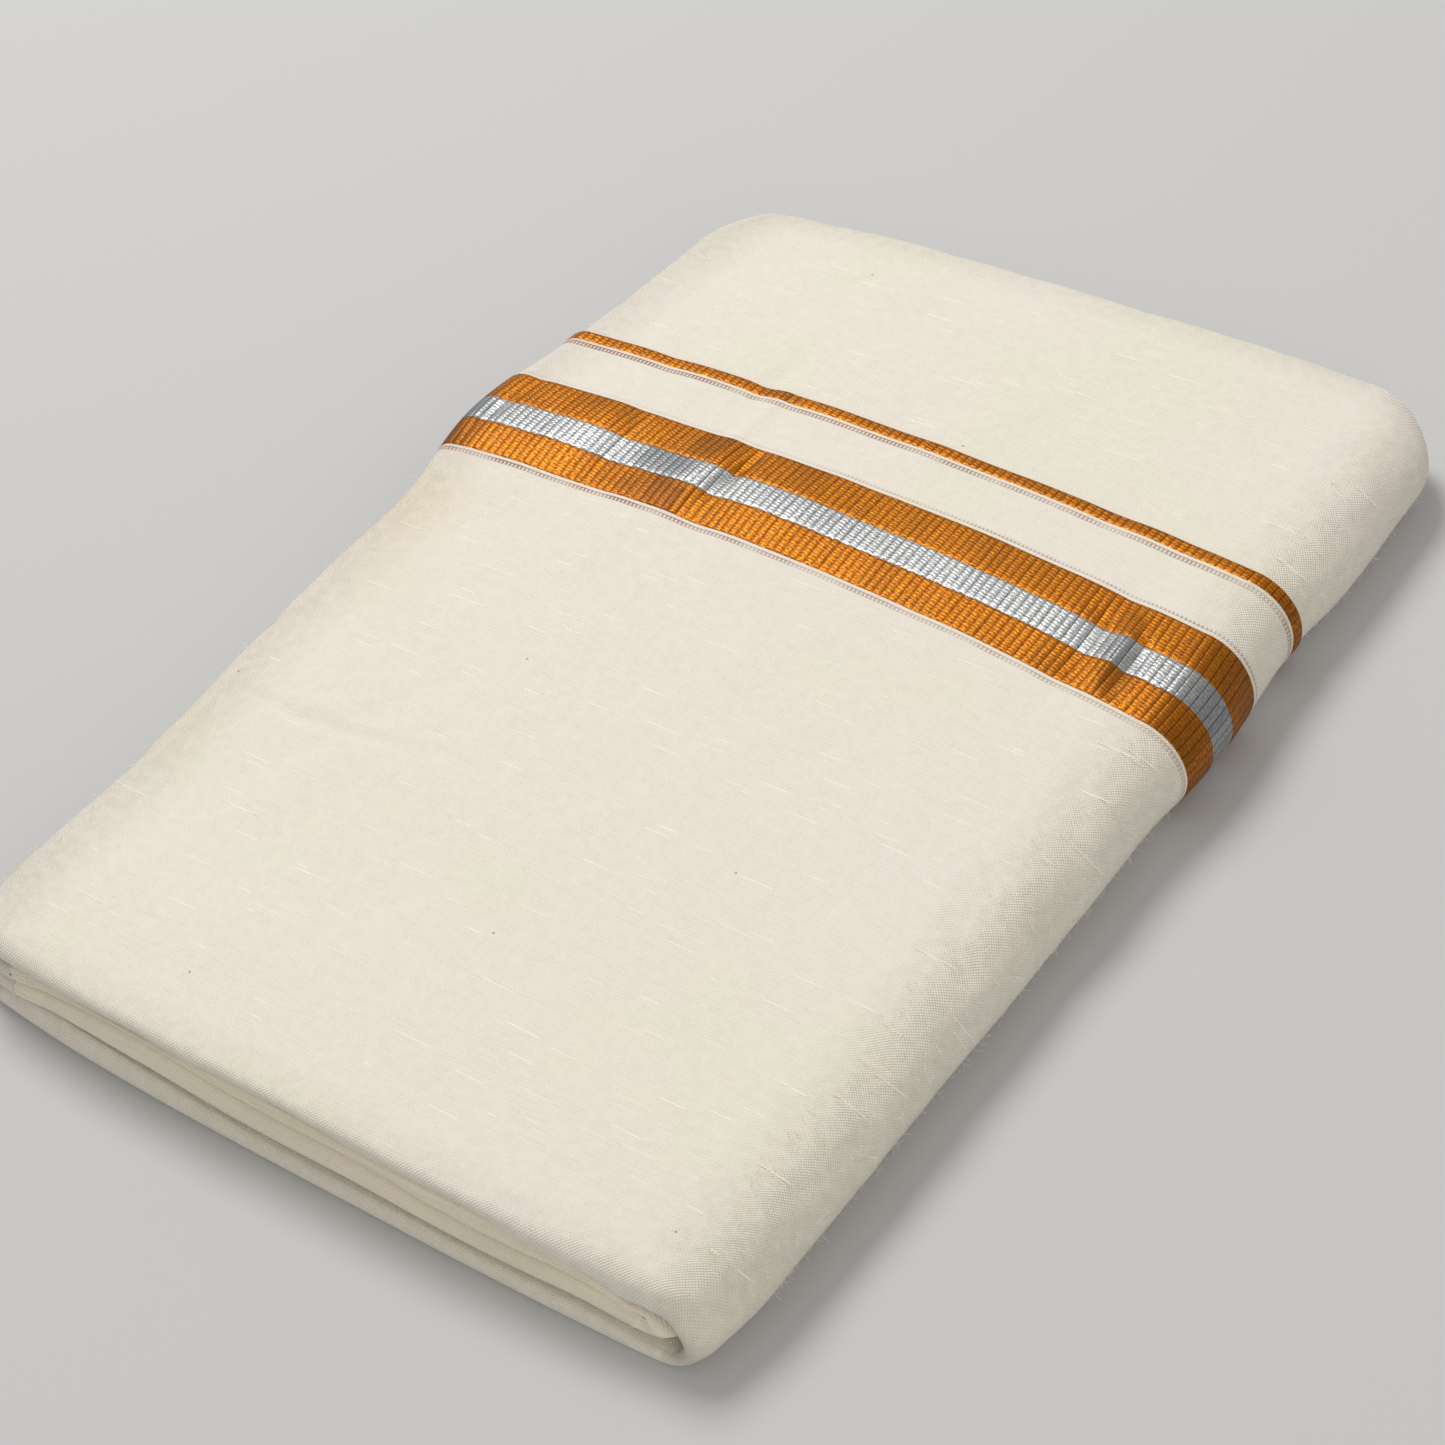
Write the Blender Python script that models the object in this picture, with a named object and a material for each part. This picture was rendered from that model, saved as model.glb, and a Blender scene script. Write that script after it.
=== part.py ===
# A cotton dhoti, woven in one length and folded flat into a packet that lies on a table.
#
# X runs across the packet (the big round fold is at +X), Y along it (the near, lipped end is
# at -Y) and Z is up. The origin is the middle of the underside's footprint.
#
# The packet is a bundle folded over on itself: seen from its near end it is a thick letter U
# lying on its side, with the slit between its two legs open at the left. A section is a row of
# places going from the slit, round the upper leg, over the top, round the big fold, under
# the bundle and round the lower leg back into the slit. Every wall is built on such sections.
# Sizes here are in millimetres.

from math import cos, pi, radians, sin, sqrt

import bmesh
import bpy
import numpy as np

MM = 0.001

# Packet
LENGTH = 354.6
NEAR_END = -LENGTH / 2
FAR_END = LENGTH / 2
WALL = 1.2
GAP = 0.3

# Corners of the plan: over their run the sides draw in, at the near end on a curve into a
# slight slope, and at the far end by much more
CORNER_RUN = 26.5
CORNER_EASE = 14.0
NEAR_CORNER_SLOPE = 0.14
FAR_CORNER = 11.5

# Slit between the legs. At the near end and at the far end: its height, how far in from the
# left the outer cloth runs beside it, and where it ends.
SLIT_HEIGHT = (13.2, 11.4)
SLIT_HALF = 0.3
MOUTH_STOP = (-103.0, -88.0)
SLIT_STOP = (97.0, 84.0)
LEFT_TURN = 8.5
LOWER_LEFT_TURN = 7.5
RIGHT_TURN = 14.0

# Lips: at both ends the layers are rolled over, from outside and from the slit, and meet
# along a fold line. These are its heights over the slit (at the near end and at the far end)
# and under it, and how thin the lower lip gets beside the big fold. Towards the left, the
# line leaves for the middle of each leg.
TOP_LIP_FOOT = (22.0, 18.2)
BOTTOM_LIP_HEAD = 4.9
THIN_LIP = 3.4
THIN_LIP_RUN = 27.0
UPPER_LEG_RUN = 45.0
LOWER_LEG_RUN = 110.0
UPPER_LEG_SHIFT = -1.5
LOWER_LEG_SHIFT = 2.6
RIGHT_LIP = 8.5
HUB = 0.3
SLIT_LIP_TRIM = 0.8
CORE_TRIM = 1.3

# The near end leans back: how far for each millimetre of height. Both ends draw in towards
# their corners: by how much at a place to the left or right of the middle. The far end is
# drawn in at its middle too. All of it fades over a stretch.
LEAN = 0.11
NEAR_DRAW = (2.9, 1.9)
FAR_DRAW = 3.0
FAR_MIDDLE_DRAW = 1.7
DRAW_PLACE = 105.0
END_RUN = 45.0

# How far the inner folds lie back, where a lip's room is measured, and how deep its edge
# and the slot for it go
CORE_RECESS = 0.9
ROOM_PLACE = 8.0
TUCK_DEPTH = 11.0
SLOT_DEPTH = 12.5

# Woven stripes, by their place along the cloth at its middle
KARA_START = 34.4
NEAR_GOLD_WIDTH = 11.4
SILVER_WIDTH = 9.8
FAR_GOLD_WIDTH = 12.2
PLAIN_WIDTH = 21.1
SELVEDGE_WIDTH = 3.9
KARA_SILVER = KARA_START + NEAR_GOLD_WIDTH
KARA_FAR_GOLD = KARA_SILVER + SILVER_WIDTH
KARA_STOP = KARA_FAR_GOLD + FAR_GOLD_WIDTH
SELVEDGE = KARA_STOP + PLAIN_WIDTH
FLAP_STOP = SELVEDGE + SELVEDGE_WIDTH
UNDERLAP = 12.0

# The stripes bow towards the far end a little left of the middle
BOW = 0.00045
BOW_MIDDLE = -32.0
TOP_REACH = (-113.0, 107.0)
FOLD_REACH = 22.0
BOW_FADE = (120.0, 130.0)

# Ribs in the metallic stripes, each one ridge and one valley: how many columns each plain
# column of the wall is cut into, so that they lie about 2.5 mm apart. On the big fold they
# stop short of the underside, which is flat.
RIB_HEIGHT = 0.35
RIB_CUTS = {"top": 10, "right": 4}
RIB_STOP = 0.93

# The bundle's outline: place along it, reach to the left and to the right, and the height
# of the top near its left and right sides. It is thickest where the stiff stripes stack up.
OUTLINE_COLUMNS = ("place", "left", "right", "left_top", "right_top")
OUTLINE = (
    (-180.0, 121.5, 119.6, 26.2, 24.4),
    (-150.0, 122.6, 120.3, 26.6, 25.2),
    (-110.0, 122.3, 120.9, 25.6, 25.4),
    (-60.0, 123.8, 121.3, 28.2, 26.2),
    (-20.0, 124.3, 121.5, 29.4, 26.6),
    (14.0, 124.6, 121.7, 30.0, 27.0),
    (30.0, 127.0, 123.3, 31.6, 27.8),
    (44.0, 128.4, 123.6, 33.0, 28.3),
    (60.0, 127.9, 122.4, 32.8, 28.3),
    (76.0, 126.2, 121.0, 31.2, 28.0),
    (96.0, 124.6, 121.4, 30.4, 27.2),
    (120.0, 123.3, 121.3, 27.8, 25.8),
    (150.0, 122.8, 120.4, 25.2, 24.2),
    (180.0, 122.3, 120.0, 23.6, 23.2),
)
PILLOW = 1.1

# Soft troughs along the cloth: where they cross its middle, their lean, the stretch that
# they run over, their depth and their half width
CREASE_COLUMNS = ("across", "lean", "start", "stop", "depth", "half_width")
CREASES = (
    (-38.0, -0.20, 8.0, 104.0, 0.9, 9.0),
    (-78.0, -0.30, 22.0, 112.0, 0.6, 7.0),
    (84.0, 0.10, 10.0, 92.0, 0.7, 8.0),
    (30.0, 0.15, 84.0, 150.0, 0.5, 14.0),
    (-70.0, 0.55, -112.0, -18.0, 0.6, 10.0),
    (52.0, -0.25, -150.0, -52.0, 0.5, 16.0),
)

# The rows that the walls and the layers under them share, by their place along the cloth
NEAR_ROWS = (-162.0, -148.0, -126.0, -100.0, -74.0, -48.0, -22.0, 2.0, 18.0, 28.0)
FAR_ROWS = (101.0, 108.0, 120.0, 136.0, 152.0, 163.0)
EASE = 24.0

# Places round a section: zone, and how many columns it is cut into
PLAIN_ZONES = (
    ("slit_top", 2),
    ("left_top", 6),
    ("top", 18),
    ("right", 9),
    ("bottom", 5),
    ("left_bottom", 4),
    ("slit_bottom", 2),
)
CORE_ZONES = (("core_bottom", 7), ("core_end", 4), ("core_top", 7))
ROLL = [radians(a) for a in (0, 40, 75, 110, 145, 176)]


def column(table, names, name):
    return np.array([row[names.index(name)] for row in table])


def along(name, y):
    """A column of the outline at any place y, as a smooth curve through its rows."""
    place = column(OUTLINE, OUTLINE_COLUMNS, "place")
    value = column(OUTLINE, OUTLINE_COLUMNS, name)
    slope = np.gradient(value, place)
    i = np.clip(np.searchsorted(place, y) - 1, 0, len(place) - 2)
    step = place[i + 1] - place[i]
    t = np.clip((y - place[i]) / step, 0, 1)
    rise = value[i + 1] - value[i]
    start = slope[i] * step
    stop = slope[i + 1] * step
    return value[i] + t * (start + t * (3 * rise - 2 * start - stop + t * (start + stop - 2 * rise)))


def smooth(t):
    t = min(max(t, 0.0), 1.0)
    return t * t * (3 - 2 * t)


def corner_loss(y):
    """How far the sides draw in towards a corner of the plan: a curve into a slope at the
    near end, and a round corner at the far end."""
    into = max(abs(y) - (LENGTH / 2 - CORNER_RUN), 0.0)
    if y > 0:
        return FAR_CORNER * (into / CORNER_RUN) ** 3
    if into < CORNER_EASE:
        return NEAR_CORNER_SLOPE * into * into / (2 * CORNER_EASE)
    return NEAR_CORNER_SLOPE * (into - CORNER_EASE / 2)


def crease(x, y):
    """How far the soft troughs lower the top at one place."""
    low = 0.0
    for across, lean, start, stop, depth, half in CREASES:
        run = (y - start) / (stop - start)
        if 0 < run < 1:
            off = (x - across - lean * (y - (start + stop) / 2)) / half
            low += depth * sin(pi * run) ** 0.7 / (1 + off * off) ** 2
    return low


class Section:
    """The bundle cut across at one place y: its sizes there."""

    def __init__(self, y):
        loss = corner_loss(y)
        self.y = y
        self.left = -along("left", y) + loss
        self.right = along("right", y) - loss
        self.left_top = along("left_top", y)
        self.right_top = along("right_top", y)
        far = smooth(y / LENGTH + 0.5)
        self.slit = SLIT_HEIGHT[0] + (SLIT_HEIGHT[1] - SLIT_HEIGHT[0]) * far
        self.lip_foot = TOP_LIP_FOOT[0] + (TOP_LIP_FOOT[1] - TOP_LIP_FOOT[0]) * far
        self.thin_lip = THIN_LIP + (BOTTOM_LIP_HEAD - THIN_LIP) * far
        self.mouth = MOUTH_STOP[0] + (MOUTH_STOP[1] - MOUTH_STOP[0]) * far
        self.slit_end = SLIT_STOP[0] + (SLIT_STOP[1] - SLIT_STOP[0]) * far

    def top(self, x):
        t = (x - self.left) / (self.right - self.left)
        height = self.left_top + (self.right_top - self.left_top) * t
        return height + PILLOW * (1 - (2 * t - 1) ** 2) - crease(x, self.y)

    def fold_line(self, x):
        """Height where the upper lips meet, rising to the middle of the leg at the left."""
        rise = 1 - smooth((x - self.left - LEFT_TURN) / UPPER_LEG_RUN)
        middle = (self.slit + self.left_top) / 2
        return self.lip_foot + (middle + UPPER_LEG_SHIFT - self.lip_foot) * rise

    def lower_fold_line(self, x):
        """Height where the lower lips meet: thin by the big fold, mid-leg at the left."""
        thick = smooth((self.right - RIGHT_TURN - x) / THIN_LIP_RUN)
        lift = 1 - smooth((x - self.left - LEFT_TURN) / LOWER_LEG_RUN)
        return self.thin_lip + (BOTTOM_LIP_HEAD - self.thin_lip) * thick + LOWER_LEG_SHIFT * lift

    def place(self, zone, u):
        """A point (x, z) on the outside at u from 0 to 1 through a zone, and the point
        on the fold line that a lip rolls in to from there."""
        inner_left = self.left + LEFT_TURN
        mouth = self.mouth
        slit_top = self.slit + SLIT_HALF
        slit_low = self.slit - SLIT_HALF
        big_start = self.right - RIGHT_TURN
        if zone == "slit_top":
            x = mouth + (inner_left - mouth) * u
            return (x, slit_top), (x, self.fold_line(x) - SLIT_LIP_TRIM)
        if zone == "left_top":
            crown = self.top(inner_left)
            middle = (slit_top + crown) / 2
            angle = radians(-90 - 180 * u)
            ex = LEFT_TURN * cos(angle)
            ez = (crown - slit_top) / 2 * sin(angle)
            hub = self.fold_line(inner_left) + SLIT_LIP_TRIM * sin(angle)
            return (inner_left + ex, middle + ez), (inner_left + HUB * ex, hub)
        if zone == "top":
            x = inner_left + (big_start - inner_left) * u
            return (x, self.top(x)), (x, self.fold_line(x))
        if zone == "right":
            crown = self.top(big_start)
            angle = radians(90 - 180 * u)
            x = big_start + RIGHT_TURN * cos(angle)
            z = crown / 2 + crown / 2 * sin(angle)
            share = (sin(angle) + 1) / 2
            fold_x = big_start + (RIGHT_TURN - RIGHT_LIP) * abs(cos(angle)) ** 0.5
            fold_z = self.thin_lip + (self.lip_foot - self.thin_lip) * share
            return (x, z), (fold_x, fold_z)
        if zone == "bottom":
            x = big_start + (inner_left - big_start) * u
            return (x, 0.0), (x, self.lower_fold_line(x))
        if zone == "left_bottom":
            middle = slit_low / 2
            angle = radians(-90 - 180 * u)
            ex = LOWER_LEFT_TURN * cos(angle)
            ez = middle * sin(angle)
            hub = self.lower_fold_line(inner_left) + SLIT_LIP_TRIM * (sin(angle) - 1) / 2
            return (inner_left + ex, middle + ez), (inner_left + HUB * ex, hub)
        if zone == "slit_bottom":
            x = inner_left + (mouth - inner_left) * u
            return (x, slit_low), (x, self.lower_fold_line(x))
        mouth += GAP
        slit_end = self.slit_end
        if zone == "core_bottom":
            x = mouth + (slit_end - mouth) * u
            return (x, slit_low), (x, self.lower_fold_line(x) + GAP)
        if zone == "core_top":
            x = slit_end + (mouth - slit_end) * u
            return (x, slit_top), (x, self.fold_line(x) - GAP)
        angle = radians(-90 + 180 * u)
        x = slit_end + SLIT_HALF * cos(angle)
        z = self.slit + SLIT_HALF * sin(angle)
        lip_foot = big_start + RIGHT_TURN - RIGHT_LIP - CORE_TRIM
        low = self.lower_fold_line(slit_end) + GAP
        high = self.fold_line(slit_end) - GAP
        fold_x = slit_end + (lip_foot - slit_end) * cos(angle)
        return (x, z), (fold_x, low + (high - low) * (1 + sin(angle)) / 2)


def columns(zones):
    """The (zone, u) of each column of a wall, the shared ends of zones counted once."""
    found = []
    for zone, count in zones:
        found += [(zone, i / count) for i in range(count)]
    found.append((zones[-1][0], 1.0))
    return found


def cloth_reach(zone, u):
    """How far across a place counts when the stripes' bow is set: over the top as the
    cloth lies, and little more once it has gone round a fold."""
    left, right = TOP_REACH
    if zone == "top":
        return left + (right - left) * u
    if zone == "right":
        return right + FOLD_REACH * u
    if zone == "left_top":
        return left - FOLD_REACH * (1 - u)
    return right + FOLD_REACH if "bottom" in zone else left - FOLD_REACH


def bowed(v, zone, u):
    """Where a line woven at v lies, fading to straight at the packet's ends."""
    reach = cloth_reach(zone, u)
    fade = smooth((v - NEAR_END) / BOW_FADE[0]) * smooth((FAR_END - v) / BOW_FADE[1])
    return v - BOW * (reach - BOW_MIDDLE) ** 2 * fade


def room_of(section, zone, u):
    """The distance from the outside to the fold line."""
    (x, z), (fold_x, fold_z) = section.place(zone, u)
    return sqrt((fold_x - x) ** 2 + (fold_z - z) ** 2)


def inward(section, zone, u, depth):
    """The outside point moved in by depth towards the fold line."""
    (x, z), (fold_x, fold_z) = section.place(zone, u)
    share = depth / room_of(section, zone, u)
    return x + (fold_x - x) * share, z + (fold_z - z) * share


def body_row(places, v, depth, raised=None):
    """A row of points where the cloth lies plain, depth in from the outside."""
    row = []
    for i, (zone, u) in enumerate(places):
        y = bowed(v, zone, u)
        out = raised[i] if raised else 0.0
        x, z = inward(Section(y), zone, u, depth - out)
        row.append((x, y, z))
    return row


def roll_row(places, angle, skin, end):
    """A row on a rolled lip: skin is how far under the lip's outer face it lies."""
    way = 1 if end > 0 else -1
    row = []
    for zone, u in places:
        room = room_of(Section(end - way * ROOM_PLACE), zone, u)
        radius = (room - GAP) / 2
        inset = radius - (radius - skin) * cos(angle)
        y = end - way * (radius - (radius - skin) * sin(angle))
        x, z = inward(Section(y), zone, u, inset)
        row.append((x, y, z))
    return row


def tuck_row(places, skin, end, run):
    """The row where a lip, rolled right over, runs back in between the layers."""
    way = 1 if end > 0 else -1
    row = []
    for zone, u in places:
        room = room_of(Section(end - way * ROOM_PLACE), zone, u)
        y = end - way * run
        x, z = inward(Section(y), zone, u, room - GAP - skin)
        row.append((x, y, z))
    return row


def rib_columns():
    """Fine columns, how far each stands out, and which of them the plain inside also has."""
    places = columns([(zone, count * RIB_CUTS.get(zone, 1)) for zone, count in PLAIN_ZONES])
    raised = []
    shared = []
    within = 0
    for i, (zone, u) in enumerate(places):
        within = 0 if u == 0.0 else within + 1
        cuts = RIB_CUTS.get(zone, 1)
        clear = cuts > 1 and (zone == "top" or u < RIB_STOP)
        raised.append(RIB_HEIGHT if within % 2 == 1 and clear else 0.0)
        if within % cuts == 0:
            shared.append(i)
    return places, raised, shared


def wall(name, outer, inner, material, shared=None):
    """A closed wall from rows of outer points and rows of inner points. Where the outer
    rows are finer, shared lists their columns that the inner rows also have."""
    mesh = bmesh.new()
    out = [[mesh.verts.new([c * MM for c in p]) for p in row] for row in outer]
    ins = [[mesh.verts.new([c * MM for c in p]) for p in row] for row in inner]
    shared = shared or list(range(len(out[0])))
    for grid in (out, ins):
        for row, after in zip(grid, grid[1:]):
            for i in range(len(row) - 1):
                mesh.faces.new((row[i], row[i + 1], after[i + 1], after[i]))
    for row, under in ((out[0], ins[0]), (out[-1], ins[-1])):
        for i in range(len(under) - 1):
            rim = row[shared[i]:shared[i + 1] + 1]
            mesh.faces.new(rim + [under[i + 1], under[i]])
    for side in (0, -1):
        for i in range(len(out) - 1):
            mesh.faces.new((out[i][side], out[i + 1][side], ins[i + 1][side], ins[i][side]))
    finish(name, mesh, material)


def finish(name, mesh, material):
    bmesh.ops.recalc_face_normals(mesh, faces=mesh.faces[:])
    bmesh.ops.triangulate(mesh, faces=mesh.faces[:])
    data = bpy.data.meshes.new(name)
    mesh.to_mesh(data)
    mesh.free()
    data.shade_smooth()
    data.set_sharp_from_angle(angle=radians(50))
    data.materials.append(material)
    piece = bpy.data.objects.new(name, data)
    bpy.context.scene.collection.objects.link(piece)


def cloth(name, colour, roughness, metallic):
    material = bpy.data.materials.new(name)
    material.use_nodes = True
    shader = material.node_tree.nodes["Principled BSDF"]
    shader.inputs["Base Color"].default_value = (*colour, 1.0)
    shader.inputs["Roughness"].default_value = roughness
    shader.inputs["Metallic"].default_value = metallic
    return material


def near_ground(material):
    """The plain cloth from the near lip to the stripes, all round the bundle."""
    places = columns(PLAIN_ZONES)
    outer = [tuck_row(places, 0.0, NEAR_END, TUCK_DEPTH)]
    inner = [tuck_row(places, WALL, NEAR_END, TUCK_DEPTH)]
    for angle in reversed(ROLL):
        outer.append(roll_row(places, angle, 0.0, NEAR_END))
        inner.append(roll_row(places, angle, WALL, NEAR_END))
    for v in (*NEAR_ROWS, KARA_START - GAP / 2):
        outer.append(body_row(places, v, 0.0))
        inner.append(body_row(places, v, WALL))
    wall("ground_near", outer, inner, material)


def stripe(name, start, stop, material):
    """A metallic stripe, ribbed along the packet on a plain inside."""
    places, raised, shared = rib_columns()
    plain = [places[i] for i in shared]
    lines = (start + GAP / 2, stop - GAP / 2)
    outer = [body_row(places, v, 0.0, raised) for v in lines]
    inner = [body_row(plain, v, WALL) for v in lines]
    wall(name, outer, inner, material, shared)


def plain_stripe(material):
    """The plain cloth between the wide stripes and the selvedge."""
    places = columns(PLAIN_ZONES)
    lines = (KARA_STOP + GAP / 2, (KARA_STOP + SELVEDGE) / 2, SELVEDGE - GAP / 2)
    outer = [body_row(places, v, 0.0) for v in lines]
    inner = [body_row(places, v, WALL) for v in lines]
    wall("ground_between_stripes", outer, inner, material)


def far_depth(v):
    """How far the layer beneath lies under the bundle's outline: the thickness of the flap
    as far as the selvedge, and less and less beyond it."""
    return (WALL + GAP) * (1 - smooth((v - FLAP_STOP) / EASE))


def far_ground(material):
    """The layer beneath: it comes out from under the selvedge and rolls over the far end."""
    places = columns(PLAIN_ZONES)
    body = (FLAP_STOP - UNDERLAP, SELVEDGE, FLAP_STOP, *FAR_ROWS)
    outer = [body_row(places, v, far_depth(v)) for v in body]
    inner = [body_row(places, v, far_depth(v) + WALL) for v in body]
    for angle in ROLL:
        outer.append(roll_row(places, angle, 0.0, FAR_END))
        inner.append(roll_row(places, angle, WALL, FAR_END))
    outer.append(tuck_row(places, 0.0, FAR_END, TUCK_DEPTH))
    inner.append(tuck_row(places, WALL, FAR_END, TUCK_DEPTH))
    wall("ground_far", outer, inner, material)


def core_end_rows(outside, core, end):
    """Rows of the hidden layers at one end: they fill the rolled lip, drop into the slot
    that the lip's edge lies in, and come out as the inner folds round the slit."""
    way = 1 if end > 0 else -1
    front = end - way * CORE_RECESS
    rows = []
    for angle in ROLL:
        row = roll_row(outside, angle, WALL + GAP, end)
        row += roll_row(core, angle, 0.0, front)
        rows.append(row)
    for run in (TUCK_DEPTH, SLOT_DEPTH):
        rows.append(tuck_row(outside, WALL + GAP, end, run) + tuck_row(core, 0.0, end, run))
    return rows


def hidden_layers(material):
    """All the layers inside as one rounded solid, with the slit and the end folds."""
    outside = columns(PLAIN_ZONES)
    core = columns(CORE_ZONES)
    skin = WALL + GAP
    split = FLAP_STOP - UNDERLAP - GAP
    step = split + GAP / 3
    rows = list(reversed(core_end_rows(outside, core, NEAR_END)))
    for v in (*NEAR_ROWS, KARA_START, KARA_SILVER, KARA_FAR_GOLD, KARA_STOP, split):
        rows.append(body_row(outside, v, skin) + body_row(core, v, 0.0))
    for v in (step, SELVEDGE, FLAP_STOP, *FAR_ROWS):
        rows.append(body_row(outside, v, skin + far_depth(v)) + body_row(core, v, 0.0))
    rows += core_end_rows(outside, core, FAR_END)
    mesh = bmesh.new()
    grid = [[mesh.verts.new([c * MM for c in p]) for p in row] for row in rows]
    for row, after in zip(grid, grid[1:]):
        for i in range(len(row)):
            j = (i + 1) % len(row)
            mesh.faces.new((row[i], row[j], after[j], after[i]))
    mesh.faces.new(grid[0])
    mesh.faces.new(grid[-1])
    finish("inner_layers", mesh, material)


def shape_ends():
    """Lean the near end back, so that its upper folds stand behind its lower ones, and
    round the corners of both ends off."""
    for piece in bpy.context.scene.objects:
        for vertex in piece.data.vertices:
            x, y, z = vertex.co / MM
            corner = (abs(x) / DRAW_PLACE) ** 4
            near = LEAN * z + NEAR_DRAW[0 if x < 0 else 1] * corner
            far = FAR_MIDDLE_DRAW + FAR_DRAW * corner
            near_share = smooth((NEAR_END + END_RUN - y) / END_RUN)
            far_share = smooth((y - FAR_END + END_RUN) / END_RUN)
            vertex.co.y += (near * near_share - far * far_share) * MM


def centre_footprint():
    """Put the origin at the middle of the footprint, on the underside."""
    points = [c for piece in bpy.context.scene.objects for c in piece.bound_box]
    low = np.min(points, axis=0)
    high = np.max(points, axis=0)
    shift = np.array(((low[0] + high[0]) / 2, (low[1] + high[1]) / 2, low[2]))
    for piece in bpy.context.scene.objects:
        for vertex in piece.data.vertices:
            vertex.co = np.array(vertex.co) - shift


for leftover in list(bpy.data.objects):
    bpy.data.objects.remove(leftover, do_unlink=True)

cotton = cloth("cream_cotton", (0.80, 0.76, 0.65), 0.92, 0.0)
gold = cloth("gold_zari", (0.62, 0.24, 0.02), 0.42, 0.55)
silver = cloth("silver_zari", (0.52, 0.56, 0.60), 0.38, 0.6)

near_ground(cotton)
stripe("kara_gold_near", KARA_START, KARA_SILVER, gold)
stripe("kara_silver", KARA_SILVER, KARA_FAR_GOLD, silver)
stripe("kara_gold_far", KARA_FAR_GOLD, KARA_STOP, gold)
plain_stripe(cotton)
stripe("selvedge_gold", SELVEDGE, FLAP_STOP, gold)
far_ground(cotton)
hidden_layers(cotton)
shape_ends()
centre_footprint()
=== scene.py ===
from math import cos, pi, radians, sin

import bmesh
import bpy
import numpy as np
from mathutils import Matrix, Vector


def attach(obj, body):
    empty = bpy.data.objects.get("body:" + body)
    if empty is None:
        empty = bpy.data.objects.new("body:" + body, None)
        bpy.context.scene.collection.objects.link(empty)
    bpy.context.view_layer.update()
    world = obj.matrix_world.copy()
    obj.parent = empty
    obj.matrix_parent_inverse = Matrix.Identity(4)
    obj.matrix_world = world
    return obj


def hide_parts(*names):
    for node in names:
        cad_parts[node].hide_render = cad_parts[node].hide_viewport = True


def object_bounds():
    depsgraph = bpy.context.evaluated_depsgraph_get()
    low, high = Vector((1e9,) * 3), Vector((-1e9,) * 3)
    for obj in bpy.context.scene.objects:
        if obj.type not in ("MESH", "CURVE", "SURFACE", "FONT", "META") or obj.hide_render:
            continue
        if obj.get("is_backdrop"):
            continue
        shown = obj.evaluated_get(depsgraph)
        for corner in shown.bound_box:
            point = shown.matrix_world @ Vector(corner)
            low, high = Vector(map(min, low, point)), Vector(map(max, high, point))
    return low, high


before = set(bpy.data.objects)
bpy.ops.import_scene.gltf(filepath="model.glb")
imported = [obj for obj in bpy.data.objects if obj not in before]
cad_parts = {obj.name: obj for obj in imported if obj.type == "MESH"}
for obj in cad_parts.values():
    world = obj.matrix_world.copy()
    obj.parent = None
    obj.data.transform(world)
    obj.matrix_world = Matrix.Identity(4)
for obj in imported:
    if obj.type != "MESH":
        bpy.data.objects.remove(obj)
cad_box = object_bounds()

# The folded layers
#
# A cotton dhoti has been folded in four across, then in half again and again along its
# length, so that its layers make a thick letter U lying on its side. This is the cream
# bundle inside: it shows in the slit between the legs and as fold edges in both ends.

MM = 0.001
LENGTH = 354.6
NEAR_END = -LENGTH / 2
FAR_END = LENGTH / 2
CORNER_RUN = 26.5
CORNER_EASE = 14.0
NEAR_CORNER_SLOPE = 0.14
FAR_CORNER = 11.5
SLIT_HEIGHT = (13.2, 11.4)
SLIT_HALF = 0.3
MOUTH_STOP = (-103.0, -88.0)
SLIT_STOP = (97.0, 84.0)
LEFT_TURN = 8.5
LOWER_LEFT_TURN = 7.5
RIGHT_TURN = 14.0
TOP_LIP_FOOT = (22.0, 18.2)
BOTTOM_LIP_HEAD = 4.9
THIN_LIP = 3.4
THIN_LIP_RUN = 27.0
UPPER_LEG_RUN = 45.0
LOWER_LEG_RUN = 110.0
UPPER_LEG_SHIFT = -1.5
LOWER_LEG_SHIFT = 2.6
RIGHT_LIP = 8.5
HUB = 0.3
SLIT_LIP_TRIM = 0.8
CORE_TRIM = 1.3
CORE_RECESS = 1.5
LEAN = 0.11
NEAR_DRAW = (2.9, 1.9)
FAR_DRAW = 3.0
FAR_MIDDLE_DRAW = 1.7
DRAW_PLACE = 105.0
END_RUN = 45.0
ROOM_PLACE = 8.0
TUCK_DEPTH = 11.0
SLOT_DEPTH = 12.5
GAP = 0.3
CORE_MARGIN = 0.3
TO_FOOTPRINT_MIDDLE = (2.2643, 0.7562)

# Where the flap's edge is along the cloth, how far the cloth beneath runs in under it, and
# how the woven lines bow
FLAP_STOP = 92.8
UNDERLAP = 12.0
BOW = 0.00045
BOW_MIDDLE = -32.0
BOW_REACH = (-113.0, 107.0)
FOLD_REACH = 22.0
BOW_FADE = (120.0, 130.0)

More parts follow.
